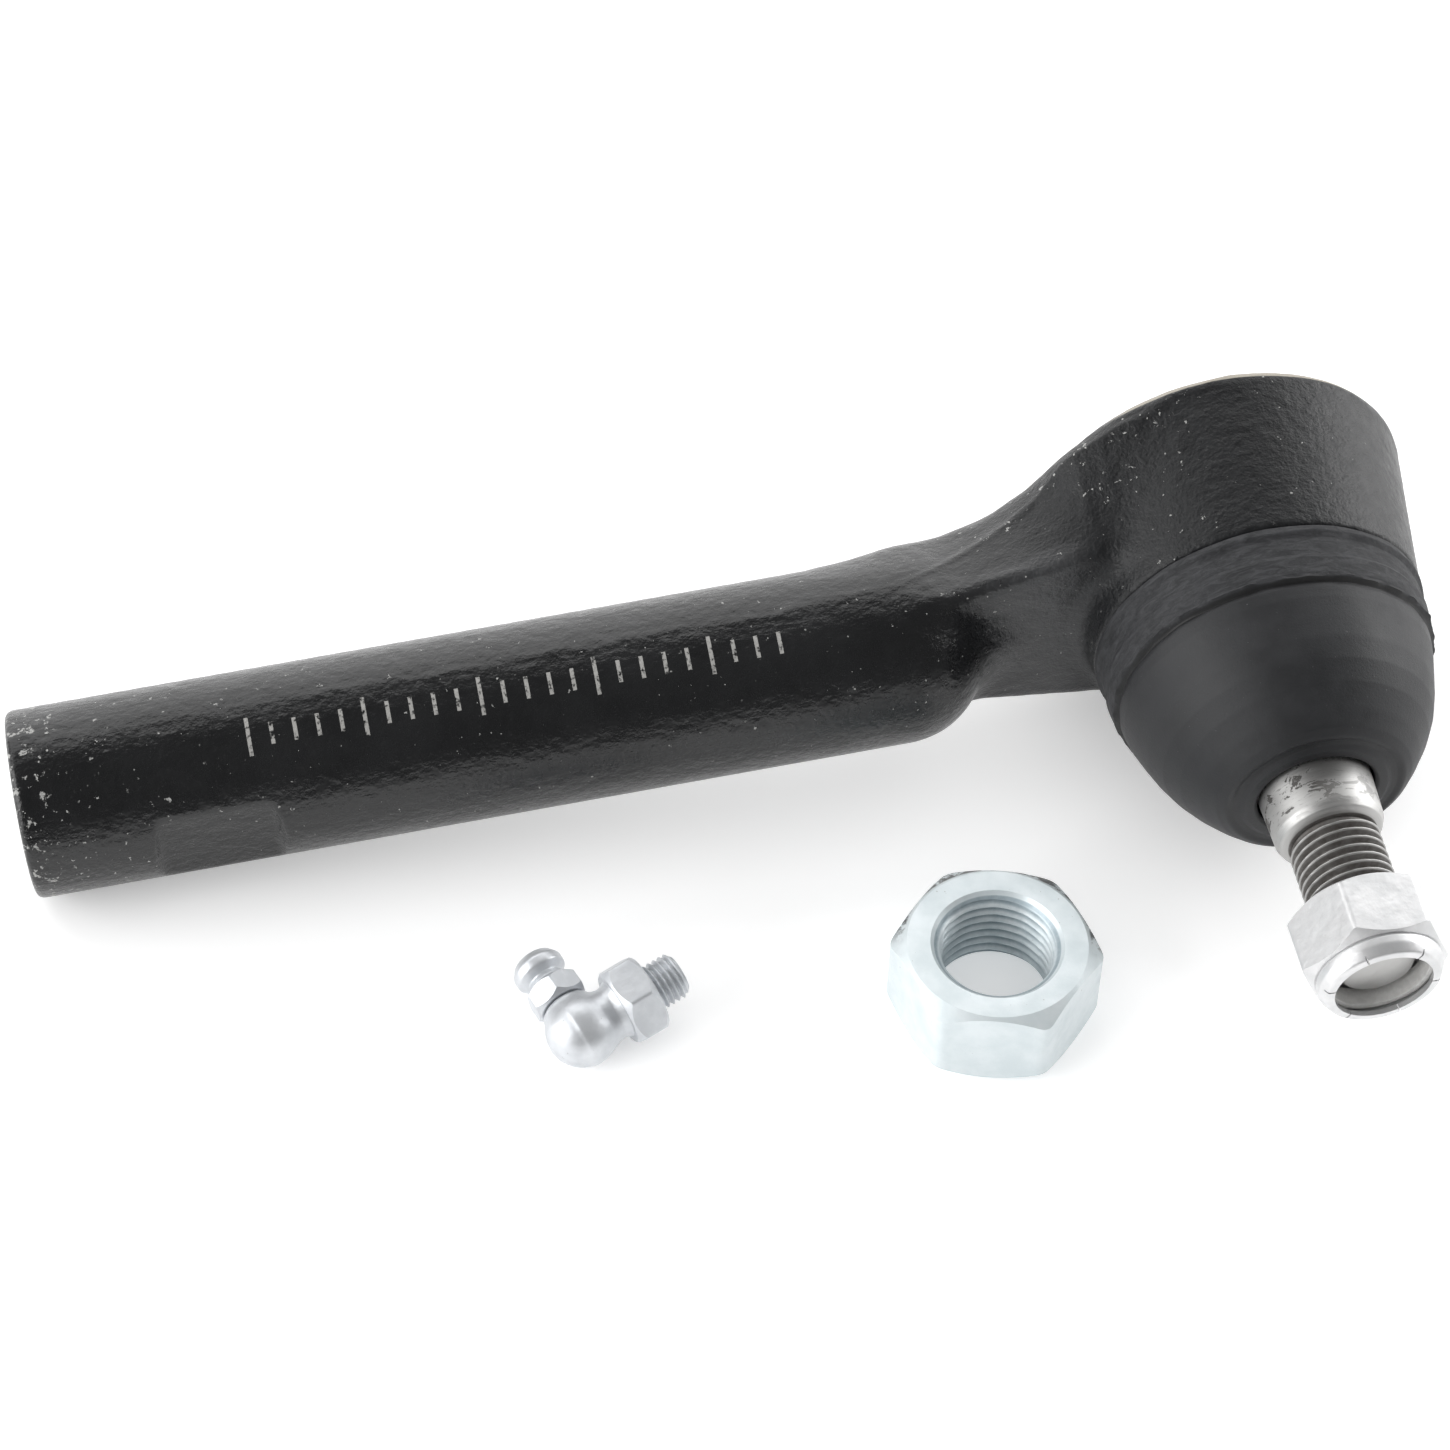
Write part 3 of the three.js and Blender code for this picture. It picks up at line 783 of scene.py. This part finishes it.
def dust_boot():
    """Turned profile with a moulding flash round its shoulder, leaning from the head to the stud."""
    segments = 240
    profile = resampled(fillet(BOOT_OUTSIDE + BOOT_INSIDE, 0.3, steps=5, closed=True), 0.45, closed=True)
    rows = revolve(profile, segments, "-y")
    out = -rows[..., 1]
    r = np.hypot(rows[..., 0], rows[..., 2])
    angle = np.arctan2(rows[..., 0], rows[..., 2])
    outer = r > np.interp(out, (7, 16, 30, 34), (20.9, 20.0, 15.0, 7.0))
    line = BOOT_FLASH + 0.12 * np.sin(3 * angle + 0.4) + 0.07 * np.sin(11 * angle)
    line += 0.05 * np.sin(23 * angle + 1)
    ragged = 0.3 + 0.12 * np.sin(17 * angle) + 0.1 * np.sin(31 * angle + 2)
    ragged += 0.06 * np.sin(53 * angle)
    flash = ragged * np.exp(-(((out - line) / 0.2) ** 2))
    pinch = -0.25 * np.exp(-(((out - line - 0.55) / 0.3) ** 2))
    sag = 0.12 * np.sin(2 * angle + 1) * np.clip((out - 17) / 6, 0, 1) * np.clip((34 - out) / 4, 0, 1)
    rough = 0.04 * np.sin(13 * angle + 3 * out) * np.clip((15 - out) / 1.5, 0, 1)
    grown = 1 + np.where(outer, flash + pinch + sag + rough, 0) / np.maximum(r, 1)
    rows[..., 0] *= grown
    rows[..., 2] *= grown
    share = np.clip((out - 15.2) / (BOOT_LIP_OUT - 15.2), 0, 1)
    share = share * share * (3 - 2 * share)
    rows[..., 0] += share * out * (-STUD_Y).dot(SHANK_X)
    obj = outward(new_object("dust_boot_moulded", *sheet_of(rows, True)))
    settle(obj, ROD, None, boot_rubber(), ["dust_boot"], sharp=50)
    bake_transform(obj)
    return obj


# ---- materials ------------------------------------------------------------------------------------
class Nodes:
    """Small helper that adds and wires shader nodes."""

    def __init__(self, name):
        self.material = bpy.data.materials.new(name)
        self.material.use_nodes = True
        self.tree = self.material.node_tree
        self.shader = self.tree.nodes["Principled BSDF"]
        self.place = self.add("ShaderNodeAttribute", attribute_name="mm").outputs["Vector"]

    def add(self, kind, **settings):
        node = self.tree.nodes.new(kind)
        for key, value in settings.items():
            setattr(node, key, value)
        return node

    def link(self, source, target):
        self.tree.links.new(source, target)

    def value(self, target, source):
        if hasattr(source, "links"):
            self.link(source, target)
        else:
            target.default_value = source

    def noise(self, scale, detail=3.0, roughness=0.5, vector=None, distortion=0.0):
        node = self.add("ShaderNodeTexNoise")
        self.link(vector or self.place, node.inputs["Vector"])
        node.inputs["Scale"].default_value = scale
        node.inputs["Detail"].default_value = detail
        node.inputs["Roughness"].default_value = roughness
        node.inputs["Distortion"].default_value = distortion
        return node.outputs["Fac"]

    def stretched(self, scale, offset=(0, 0, 0)):
        node = self.add("ShaderNodeMapping")
        self.link(self.place, node.inputs["Vector"])
        node.inputs["Scale"].default_value = scale
        node.inputs["Location"].default_value = offset
        return node.outputs["Vector"]

    def moved(self, x, y, z):
        return self.stretched((1, 1, 1), (x, y, z))

    def ramp(self, source, low, high):
        node = self.add("ShaderNodeMapRange", interpolation_type="SMOOTHSTEP", clamp=True)
        self.link(source, node.inputs["Value"])
        node.inputs["From Min"].default_value = low
        node.inputs["From Max"].default_value = high
        return node.outputs["Result"]

    def span(self, source, low, high, to_low, to_high):
        node = self.add("ShaderNodeMapRange", clamp=True)
        self.link(source, node.inputs["Value"])
        for name, number in zip(("From Min", "From Max", "To Min", "To Max"), (low, high, to_low, to_high)):
            node.inputs[name].default_value = number
        return node.outputs["Result"]

    def math(self, operation, a, b=0.0, c=0.0, clamp=False):
        node = self.add("ShaderNodeMath", operation=operation, use_clamp=clamp)
        for socket, source in zip(node.inputs, (a, b, c)):
            self.value(socket, source)
        return node.outputs["Value"]

    def mix(self, share, a, b):
        node = self.add("ShaderNodeMix", data_type="RGBA")
        self.value(node.inputs["Factor"], share)
        self.value(node.inputs[6], a)
        self.value(node.inputs[7], b)
        return node.outputs[2]

    def axes(self):
        node = self.add("ShaderNodeSeparateXYZ")
        self.link(self.place, node.inputs["Vector"])
        return node.outputs

    def distance(self, a, b):
        """Distance from an axis, from the two coordinates across it."""
        return self.math("SQRT", self.math("ADD", self.math("MULTIPLY", a, a), self.math("MULTIPLY", b, b)))

    def single(self, value):
        node = self.add("ShaderNodeCombineXYZ")
        self.link(value, node.inputs["X"])
        return node.outputs["Vector"]

    def bump(self, height, strength, distance, below=None):
        node = self.add("ShaderNodeBump")
        self.link(height, node.inputs["Height"])
        node.inputs["Strength"].default_value = strength
        node.inputs["Distance"].default_value = distance
        if below:
            self.link(below, node.inputs["Normal"])
        return node.outputs["Normal"]

    def finish(self, color, roughness, metallic=0.0, normal=None, **sockets):
        self.value(self.shader.inputs["Base Color"], color)
        self.value(self.shader.inputs["Roughness"], roughness)
        self.value(self.shader.inputs["Metallic"], metallic)
        if normal:
            self.link(normal, self.shader.inputs["Normal"])
        for name, number in sockets.items():
            self.shader.inputs[name.replace("_", " ")].default_value = number
        return self.material


def tick_marks(n):
    """Etched graduation along the shank: short strokes, every fifth one longer."""
    x, y, z = n.axes()
    angle = n.math("ARCTAN2", z, n.math("MULTIPLY", y, -1.0))
    around = n.math("MULTIPLY", n.math("SUBTRACT", angle, MARKS_ANGLE), SHANK_R)
    along = n.math("SUBTRACT", x, MARKS_FROM)
    cell = n.math("PINGPONG", along, 1.5)
    stroke = n.math("LESS_THAN", cell, 0.26)
    index = n.math("FLOOR", n.math("DIVIDE", n.math("ADD", along, 1.5), 3.0))
    fifth = n.math("LESS_THAN", n.math("ABSOLUTE", n.math("WRAP", index, 2.5, -2.5)), 0.5)
    reach = n.math("MULTIPLY_ADD", fifth, 1.1, 1.5)
    inside = n.math("LESS_THAN", n.math("ABSOLUTE", around), reach)
    started = n.math("GREATER_THAN", along, -0.5)
    limits = n.math("MULTIPLY", started, n.math("LESS_THAN", along, MARKS_LENGTH + 0.5))
    front = n.math("LESS_THAN", y, 0.0)
    worn = n.ramp(n.noise(1.6, 4, 0.65), 0.36, 0.5)
    mask = n.math("MULTIPLY", n.math("MULTIPLY", stroke, inside), n.math("MULTIPLY", limits, front))
    return n.math("MULTIPLY", mask, worn)


def black_paint():
    n = Nodes("black_paint")
    x, y, z = n.axes()
    arm = n.ramp(x, -46.0, -20.0)
    blotch = n.ramp(n.noise(0.09, 3, 0.5), 0.35, 0.7)
    base = n.mix(blotch, (0.004, 0.0042, 0.0047, 1), (0.0075, 0.0078, 0.0085, 1))
    dust = n.math("MULTIPLY", arm, n.span(n.noise(0.5, 5, 0.7), 0.35, 0.7, 0.35, 1.0))
    base = n.mix(n.math("MULTIPLY", dust, 0.35), base, (0.018, 0.019, 0.021, 1))
    # Painted reflection: the arm's front face gets a lighter grey and more specular, standing in for the
    # bright floor it mirrors.
    painted_front_sheen = n.math("MULTIPLY", n.math("MULTIPLY", arm, n.ramp(y, 2.5, -1.5)), n.ramp(x, -19.0, -27.0))
    base = n.mix(n.math("MULTIPLY", painted_front_sheen, 0.5), base, (0.05, 0.051, 0.054, 1))
    chips = paint_chips(n, x, y)
    base = n.mix(chips, base, (0.33, 0.33, 0.32, 1))
    marks = tick_marks(n)
    base = n.mix(n.math("MULTIPLY", marks, 0.8), base, (0.36, 0.355, 0.34, 1))
    turned = n.math("MULTIPLY", n.ramp(y, RIM_Y + 0.05, RIM_Y + 0.2), n.ramp(x, -17.0, -12.0))
    turned = n.math("MAXIMUM", turned, n.ramp(y, HEAD_BACK_Y - 0.1, HEAD_BACK_Y - 0.02))
    rings = n.noise(2.4, 3, 0.6, n.single(n.distance(x, z)))
    base = n.mix(turned, base, n.mix(rings, (0.25, 0.235, 0.2, 1), (0.42, 0.39, 0.34, 1)))
    bottom = SHANK_END_X + BORE_DEPTH
    bored = n.math("MULTIPLY", n.ramp(n.distance(y, z), 9.1, 8.8), n.ramp(x, bottom + 3.6, bottom + 1.6))
    base = n.mix(bored, base, (0.36, 0.35, 0.33, 1))
    bare = n.math("MAXIMUM", turned, bored)
    peel = n.noise(0.95, 2, 0.5)
    pits = n.noise(2.3, 4, 0.6)
    leather = n.noise(0.4, 4, 0.62, n.stretched((0.6, 1, 1)))
    normal = n.bump(leather, 0.8, 0.34 * MM)
    normal = n.bump(peel, 0.7, 0.16 * MM, normal)
    pits = n.math("MULTIPLY", pits, n.math("MULTIPLY_ADD", arm, 1.6, 1.0))
    normal = n.bump(pits, 0.6, 0.08 * MM, normal)
    gloss = n.span(n.noise(0.5, 4, 0.6), 0.3, 0.7, 0.22, 0.32)
    rough = n.math("ADD", gloss, n.math("MULTIPLY", arm, 0.11))
    worn = n.math("MAXIMUM", n.math("MAXIMUM", marks, chips), n.math("MULTIPLY", bare, 0.7))
    rough = n.math("ADD", rough, n.math("MULTIPLY", worn, 0.25), clamp=True)
    # The arm's paint is duller, except on the painted front sheen, whose raised specular is part of the
    # painted reflection.
    dull = n.math("SUBTRACT", arm, n.math("MULTIPLY", painted_front_sheen, 1.8))
    n.link(n.math("MULTIPLY_ADD", dull, -0.2, 0.5), n.shader.inputs["Specular IOR Level"])
    return n.finish(base, rough, n.math("MULTIPLY", bare, 0.9), normal)


def paint_chips(n, x, y):
    """Knocked-off paint: many flakes at the open end, specks along the arm's ridges, a few anywhere."""
    large = n.noise(0.5, 6, 0.72)
    fine = n.noise(1.3, 3, 0.6, n.moved(31, 5, 9))
    end = SHANK_END_X
    rim = n.math("MULTIPLY", n.ramp(x, end + 10.6, end + 1.6), n.span(x, end + 0.05, end + 0.3, 0.75, 1.0))
    near_end = n.ramp(x, end + 26.6, end + 4.6)
    ridge = n.math("MULTIPLY", n.ramp(y, 4.0, 9.0), n.ramp(x, -2.0, -14.0))
    ridge = n.math("MULTIPLY", n.ramp(x, -54.0, -40.0), ridge)
    flakes = n.math("GREATER_THAN", large, n.math("SUBTRACT", 0.73, n.math("MULTIPLY", rim, 0.15)))
    lowered = n.math("MAXIMUM", n.math("MULTIPLY", near_end, 0.045), n.math("MULTIPLY", ridge, 0.06))
    specks = n.math("GREATER_THAN", fine, n.math("SUBTRACT", 0.705, lowered))
    patchy = n.ramp(n.noise(0.22, 3, 0.6, n.moved(7, 3, 1)), 0.44, 0.54)
    return n.math("MAXIMUM", flakes, n.math("MULTIPLY", specks, patchy))


def boot_rubber():
    n = Nodes("boot_rubber")
    out = n.math("MULTIPLY", n.axes()["Y"], -1.0)
    collar = n.ramp(out, BOOT_FLASH + 0.35, BOOT_FLASH - 0.15)
    cloud = n.noise(0.16, 4, 0.6)
    base = n.mix(n.ramp(cloud, 0.3, 0.7), (0.012, 0.0125, 0.014, 1), (0.019, 0.0195, 0.0215, 1))
    smear = n.noise(0.9, 6, 0.72, n.stretched((0.45, 1.6, 0.45)), 0.8)
    powder = n.math("MULTIPLY", collar, n.ramp(smear, 0.36, 0.7))
    base = n.mix(n.math("MULTIPLY", powder, 0.55), base, (0.06, 0.061, 0.065, 1))
    # Painted shade: a near-black band in the pinched groove just past the moulding flash, where the flash's
    # lip shades the rubber.
    below = n.ramp(out, BOOT_FLASH - 0.05, BOOT_FLASH + 0.3)
    above = n.ramp(out, BOOT_FLASH + 0.9, BOOT_FLASH + 0.5)
    line = n.math("MULTIPLY", below, above)
    base = n.mix(n.math("MULTIPLY", line, 0.8), base, (0.003, 0.003, 0.003, 1))
    specks = n.ramp(n.noise(3.2, 2, 0.5), 0.74, 0.8)
    base = n.mix(n.math("MULTIPLY", specks, 0.5), base, (0.16, 0.16, 0.16, 1))
    grain = n.noise(3.0, 5, 0.65)
    coarse = n.noise(0.9, 4, 0.6)
    coarse = n.math("MULTIPLY", coarse, n.math("MULTIPLY_ADD", collar, 1.4, 0.25))
    height = n.math("ADD", n.math("MULTIPLY", grain, 0.4), coarse)
    normal = n.bump(height, 0.6, 0.12 * MM)
    rough = n.math("ADD", n.span(cloud, 0.3, 0.7, 0.5, 0.62), n.math("MULTIPLY", collar, 0.2))
    return n.finish(base, rough, 0.0, normal, Specular_IOR_Level=0.4)


def stud_steel():
    n = Nodes("stud_steel")
    x, y, z = n.axes()
    out = n.math("MULTIPLY", y, -1.0)
    r = n.distance(x, z)
    started = n.ramp(out, TAPER_END - 0.1, THREAD_FROM - 0.1)
    threaded = n.math("MULTIPLY", started, n.ramp(out, STUD_END - 0.3, STUD_END - 0.8))
    groove = n.ramp(r, STUD_R - 0.06, STUD_R - 0.25)
    smudge_and_shade = n.ramp(n.noise(0.5, 5, 0.68, n.stretched((0.6, 1.0, 0.6), (3, 9, 2)), 0.6), 0.53, 0.57)
    scratch = n.ramp(n.noise(2.0, 4, 0.7, n.stretched((0.4, 2.2, 0.4), (1, 4, 6))), 0.58, 0.66)
    smudge_and_shade = n.math("MAXIMUM", smudge_and_shade, n.math("MULTIPLY", scratch, 0.55))
    # Smudges and scratches with painted shade: they are kept to the taper and weighted to its left side, full
    # there and under half on the right, darkening that side as if it were turned from the light.
    left = n.math("MULTIPLY", n.ramp(out, 41.0, 38.5), n.span(x, -2.0, 3.0, 1.0, 0.45))
    streaks = n.noise(1.0, 3, 0.5, n.stretched((0.25, 9.0, 0.25)))
    bright = n.mix(streaks, (0.38, 0.378, 0.37, 1), (0.56, 0.556, 0.548, 1))
    smudge_and_shade = n.math("MULTIPLY", smudge_and_shade, left)
    base = n.mix(n.math("MULTIPLY", smudge_and_shade, 0.9), bright, (0.05, 0.046, 0.042, 1))
    dirt = n.math("MULTIPLY", threaded, n.math("ADD", n.math("MULTIPLY", groove, 0.8), 0.1, clamp=True))
    dirt = n.math("MULTIPLY", dirt, n.span(n.noise(0.8, 4, 0.6), 0.3, 0.65, 0.8, 1.0))
    base = n.mix(dirt, base, (0.05, 0.042, 0.036, 1))
    metallic = n.math("SUBTRACT", 1.0, n.math("MULTIPLY", n.math("MAXIMUM", dirt, smudge_and_shade), 0.5), clamp=True)
    rough = n.math("ADD", n.span(streaks, 0.3, 0.7, 0.42, 0.54), n.math("MULTIPLY", dirt, 0.12))
    normal = n.bump(streaks, 0.25, 0.05 * MM)
    normal = n.bump(n.noise(2.2, 3, 0.6), 0.2, 0.05 * MM, normal)
    return n.finish(base, rough, metallic, normal)


def plated(name, light, shade, rough_low, rough_high, metallic=0.72, bore_r=0.0):
    """Zinc plate: cloudy, with tumbling marks and dark nicks; bore_r adds the jam nut's stains, painted shade
    in its thread roots, and scuffs.
    """
    n = Nodes(name)
    cloud = n.noise(0.22, 4, 0.6)
    base = n.mix(n.ramp(cloud, 0.32, 0.68), light, shade)
    if bore_r:
        x, y, z = n.axes()
        r = n.distance(x, y)
        bore = n.ramp(r, bore_r, bore_r - 0.15)
        stain_and_root_shade = n.span(n.noise(0.6, 5, 0.7), 0.35, 0.65, 0.0, 0.25)
        # Painted shade: on top of the random stains, the thread roots in the bore are darkened to bring out
        # the thread's rings.
        groove = n.ramp(r, bore_r - 0.7, bore_r - 0.35)
        stain_and_root_shade = n.math("ADD", stain_and_root_shade, n.math("MULTIPLY", groove, 0.6))
        base = n.mix(n.math("MULTIPLY", bore, stain_and_root_shade), base, (0.24, 0.31, 0.35, 1))
        top = n.ramp(z, JAM_HEIGHT - 2.2, JAM_HEIGHT - 1.5)
        rim = n.math("MULTIPLY", top, n.ramp(r, JAM_FLATS / 2 - 0.2, JAM_FLATS / 2 + 0.2))
        scuff = n.ramp(n.noise(0.45, 6, 0.75, n.moved(4, 1, 7)), 0.43, 0.53)
        scuff = n.math("MULTIPLY", n.math("MULTIPLY", rim, scuff), n.ramp(y, -1.0, 3.0))
        base = n.mix(n.math("MULTIPLY", scuff, 0.9), base, (0.06, 0.058, 0.055, 1))
    nick = n.ramp(n.noise(1.7, 3, 0.6, n.moved(2, 5, 8)), 0.72, 0.77)
    base = n.mix(n.math("MULTIPLY", nick, 0.7), base, (0.16, 0.14, 0.12, 1))
    fine = n.noise(4.0, 4, 0.65)
    dents = n.noise(0.6, 2, 0.5)
    normal = n.bump(dents, 0.4, 0.14 * MM)
    normal = n.bump(fine, 0.25, 0.03 * MM, normal)
    rough = n.math("ADD", n.span(cloud, 0.3, 0.7, rough_low, rough_high), n.math("MULTIPLY", nick, 0.2))
    return n.finish(base, rough, metallic, normal)


def bright_zinc():
    light, shade = (0.7, 0.7, 0.705, 1), (0.6, 0.605, 0.61, 1)
    return plated("bright_zinc", light, shade, 0.32, 0.44)


def blue_zinc():
    light, shade = (0.7, 0.755, 0.775, 1), (0.62, 0.685, 0.705, 1)
    ring = BORE_MAJOR_R + 0.15
    return plated("blue_zinc", light, shade, 0.36, 0.46, metallic=0.35, bore_r=ring)


def satin_zinc():
    light, shade = (0.68, 0.7, 0.725, 1), (0.57, 0.59, 0.615, 1)
    return plated("satin_zinc", light, shade, 0.38, 0.5)


def cover_steel():
    n = Nodes("cover_steel")
    cloud = n.noise(0.3, 5, 0.6)
    base = n.mix(n.ramp(cloud, 0.35, 0.7), (0.5, 0.47, 0.41, 1), (0.36, 0.34, 0.3, 1))
    rings = n.noise(1.4, 4, 0.6)
    normal = n.bump(rings, 0.3, 0.05 * MM)
    return n.finish(base, n.span(cloud, 0.3, 0.7, 0.34, 0.5), 1.0, normal)


def nylon():
    n = Nodes("nylon")
    cloud = n.noise(1.1, 4, 0.6)
    base = n.mix(n.ramp(cloud, 0.35, 0.7), (0.58, 0.575, 0.56, 1), (0.68, 0.675, 0.66, 1))
    normal = n.bump(n.noise(3.5, 3, 0.5), 0.3, 0.04 * MM)
    return n.finish(base, n.span(cloud, 0.3, 0.7, 0.42, 0.55), 0.0, normal)


def polished_steel():
    n = Nodes("polished_steel")
    haze = n.noise(3.0, 3, 0.5)
    base = n.mix(haze, (0.8, 0.8, 0.8, 1), (0.7, 0.7, 0.7, 1))
    return n.finish(base, n.span(haze, 0.3, 0.7, 0.08, 0.14), 1.0, n.bump(haze, 0.1, 0.01 * MM))


def spring_steel():
    return plated("spring_steel", (0.3, 0.29, 0.28, 1), (0.2, 0.195, 0.19, 1), 0.3, 0.45)


def hidden_finish(name, color_a, color_b, rough, metallic, grain):
    """Finish of the pieces inside the head; they keep their CAD shape, so it reads object coordinates."""
    n = Nodes(name)
    place = n.add("ShaderNodeTexCoord").outputs["Object"]
    cloud = n.noise(160, 4, 0.6, place)
    base = n.mix(n.ramp(cloud, 0.35, 0.7), color_a, color_b)
    normal = n.bump(n.noise(grain, 4, 0.6, place), 0.3, 0.05 * MM)
    return n.finish(base, n.span(cloud, 0.3, 0.7, rough - 0.06, rough + 0.08), metallic, normal)


def dress_hidden_nodes():
    acetal = hidden_finish("bearing_acetal", (0.72, 0.69, 0.6, 1), (0.62, 0.59, 0.5, 1), 0.45, 0.0, 1500)
    dark = hidden_finish("dark_steel", (0.24, 0.23, 0.22, 1), (0.15, 0.145, 0.14, 1), 0.4, 1.0, 2400)
    wire = hidden_finish("ring_steel", (0.34, 0.34, 0.34, 1), (0.24, 0.24, 0.24, 1), 0.36, 1.0, 2600)
    finishes = {
        "front_bearing": acetal,
        "rear_bearing": acetal,
        "preload_spring": dark,
        "pressure_plate": dark,
        "boot_collar_ring": wire,
        "boot_neck_ring": wire,
    }
    for node, material in finishes.items():
        mesh = frame["nodes"][node].data
        mesh.materials.clear()
        mesh.materials.append(material)


# ---- stage, light and camera ------------------------------------------------------------------------
def stage():
    size = 3.0
    corners = [(-size, -size, 0), (size, -size, 0), (size, size, 0), (-size, size, 0)]
    floor = new_object("floor", corners, [(0, 1, 2, 3)])
    material = bpy.data.materials.new("floor_white")
    material.use_nodes = True
    shader = material.node_tree.nodes["Principled BSDF"]
    shader.inputs["Base Color"].default_value = (0.93, 0.93, 0.93, 1)
    shader.inputs["Roughness"].default_value = 0.9
    shader.inputs["Emission Color"].default_value = (1, 1, 1, 1)
    shader.inputs["Emission Strength"].default_value = 0.28
    floor.data.materials.append(material)
    floor.location.z = -0.0002


def soft_box(name, place, size, power, mirrored=True):
    data = bpy.data.lights.new(name, "AREA")
    data.shape = "RECTANGLE"
    data.size, data.size_y = size
    data.energy = power
    lamp = bpy.data.objects.new(name, data)
    lamp.location = place
    lamp.rotation_euler = (Vector((0, 0, 0.02)) - Vector(place)).to_track_quat("-Z", "Y").to_euler()
    lamp.visible_camera = False
    lamp.visible_glossy = mirrored
    bpy.context.scene.collection.objects.link(lamp)


def light():
    """Soft boxes behind and on both sides, with a weaker one overhead that lightens the shadows."""
    scene = bpy.context.scene
    scene.view_settings.view_transform = "Standard"
    world = bpy.data.worlds.new("studio")
    scene.world = world
    world.use_nodes = True
    background = world.node_tree.nodes["Background"]
    background.inputs["Color"].default_value = (1, 1, 1, 1)
    background.inputs["Strength"].default_value = 0.22
    soft_box("back", (0, 1.7, 1.05), (4.2, 2.3), 54)
    soft_box("left", (-1.9, -0.25, 0.8), (2.0, 1.5), 40)
    soft_box("right", (1.9, 0.4, 0.65), (1.6, 1.2), 32)
    soft_box("fill", (0, -0.6, 2.2), (3.0, 3.0), 22, mirrored=False)


def camera():
    azimuth, elevation, roll = math.radians(-12.27), math.radians(50.42), math.radians(2.09)
    distance, lens = 0.620, 116.28
    target = Vector((BALL.x - 0.069476, BALL.y, 0.009822))
    back = Vector(
        (
            math.sin(azimuth) * math.cos(elevation),
            -math.cos(azimuth) * math.cos(elevation),
            math.sin(elevation),
        )
    )
    right = (-back).cross(Vector((0, 0, 1))).normalized()
    up = right.cross(-back)
    turned_right = math.cos(roll) * right + math.sin(roll) * up
    turned_up = -math.sin(roll) * right + math.cos(roll) * up
    data = bpy.data.cameras.new("camera")
    data.lens = lens
    data.sensor_width = 36
    data.clip_start = 0.01
    obj = bpy.data.objects.new("camera", data)
    pose = Matrix.Identity(4)
    for column, axis in enumerate((turned_right, turned_up, back)):
        for row in range(3):
            pose[row][column] = axis[row]
    pose.translation = target + back * distance
    obj.matrix_world = pose
    bpy.context.scene.collection.objects.link(obj)
    bpy.context.scene.camera = obj


camera()
light()
stage()
socket_housing()
cover_plate()
ball_stud()
dust_boot()
lock_nut()
nylon_insert()
jam_nut()
grease_elbow()
grease_nipple()
check_ball()
check_spring()
dress_hidden_nodes()
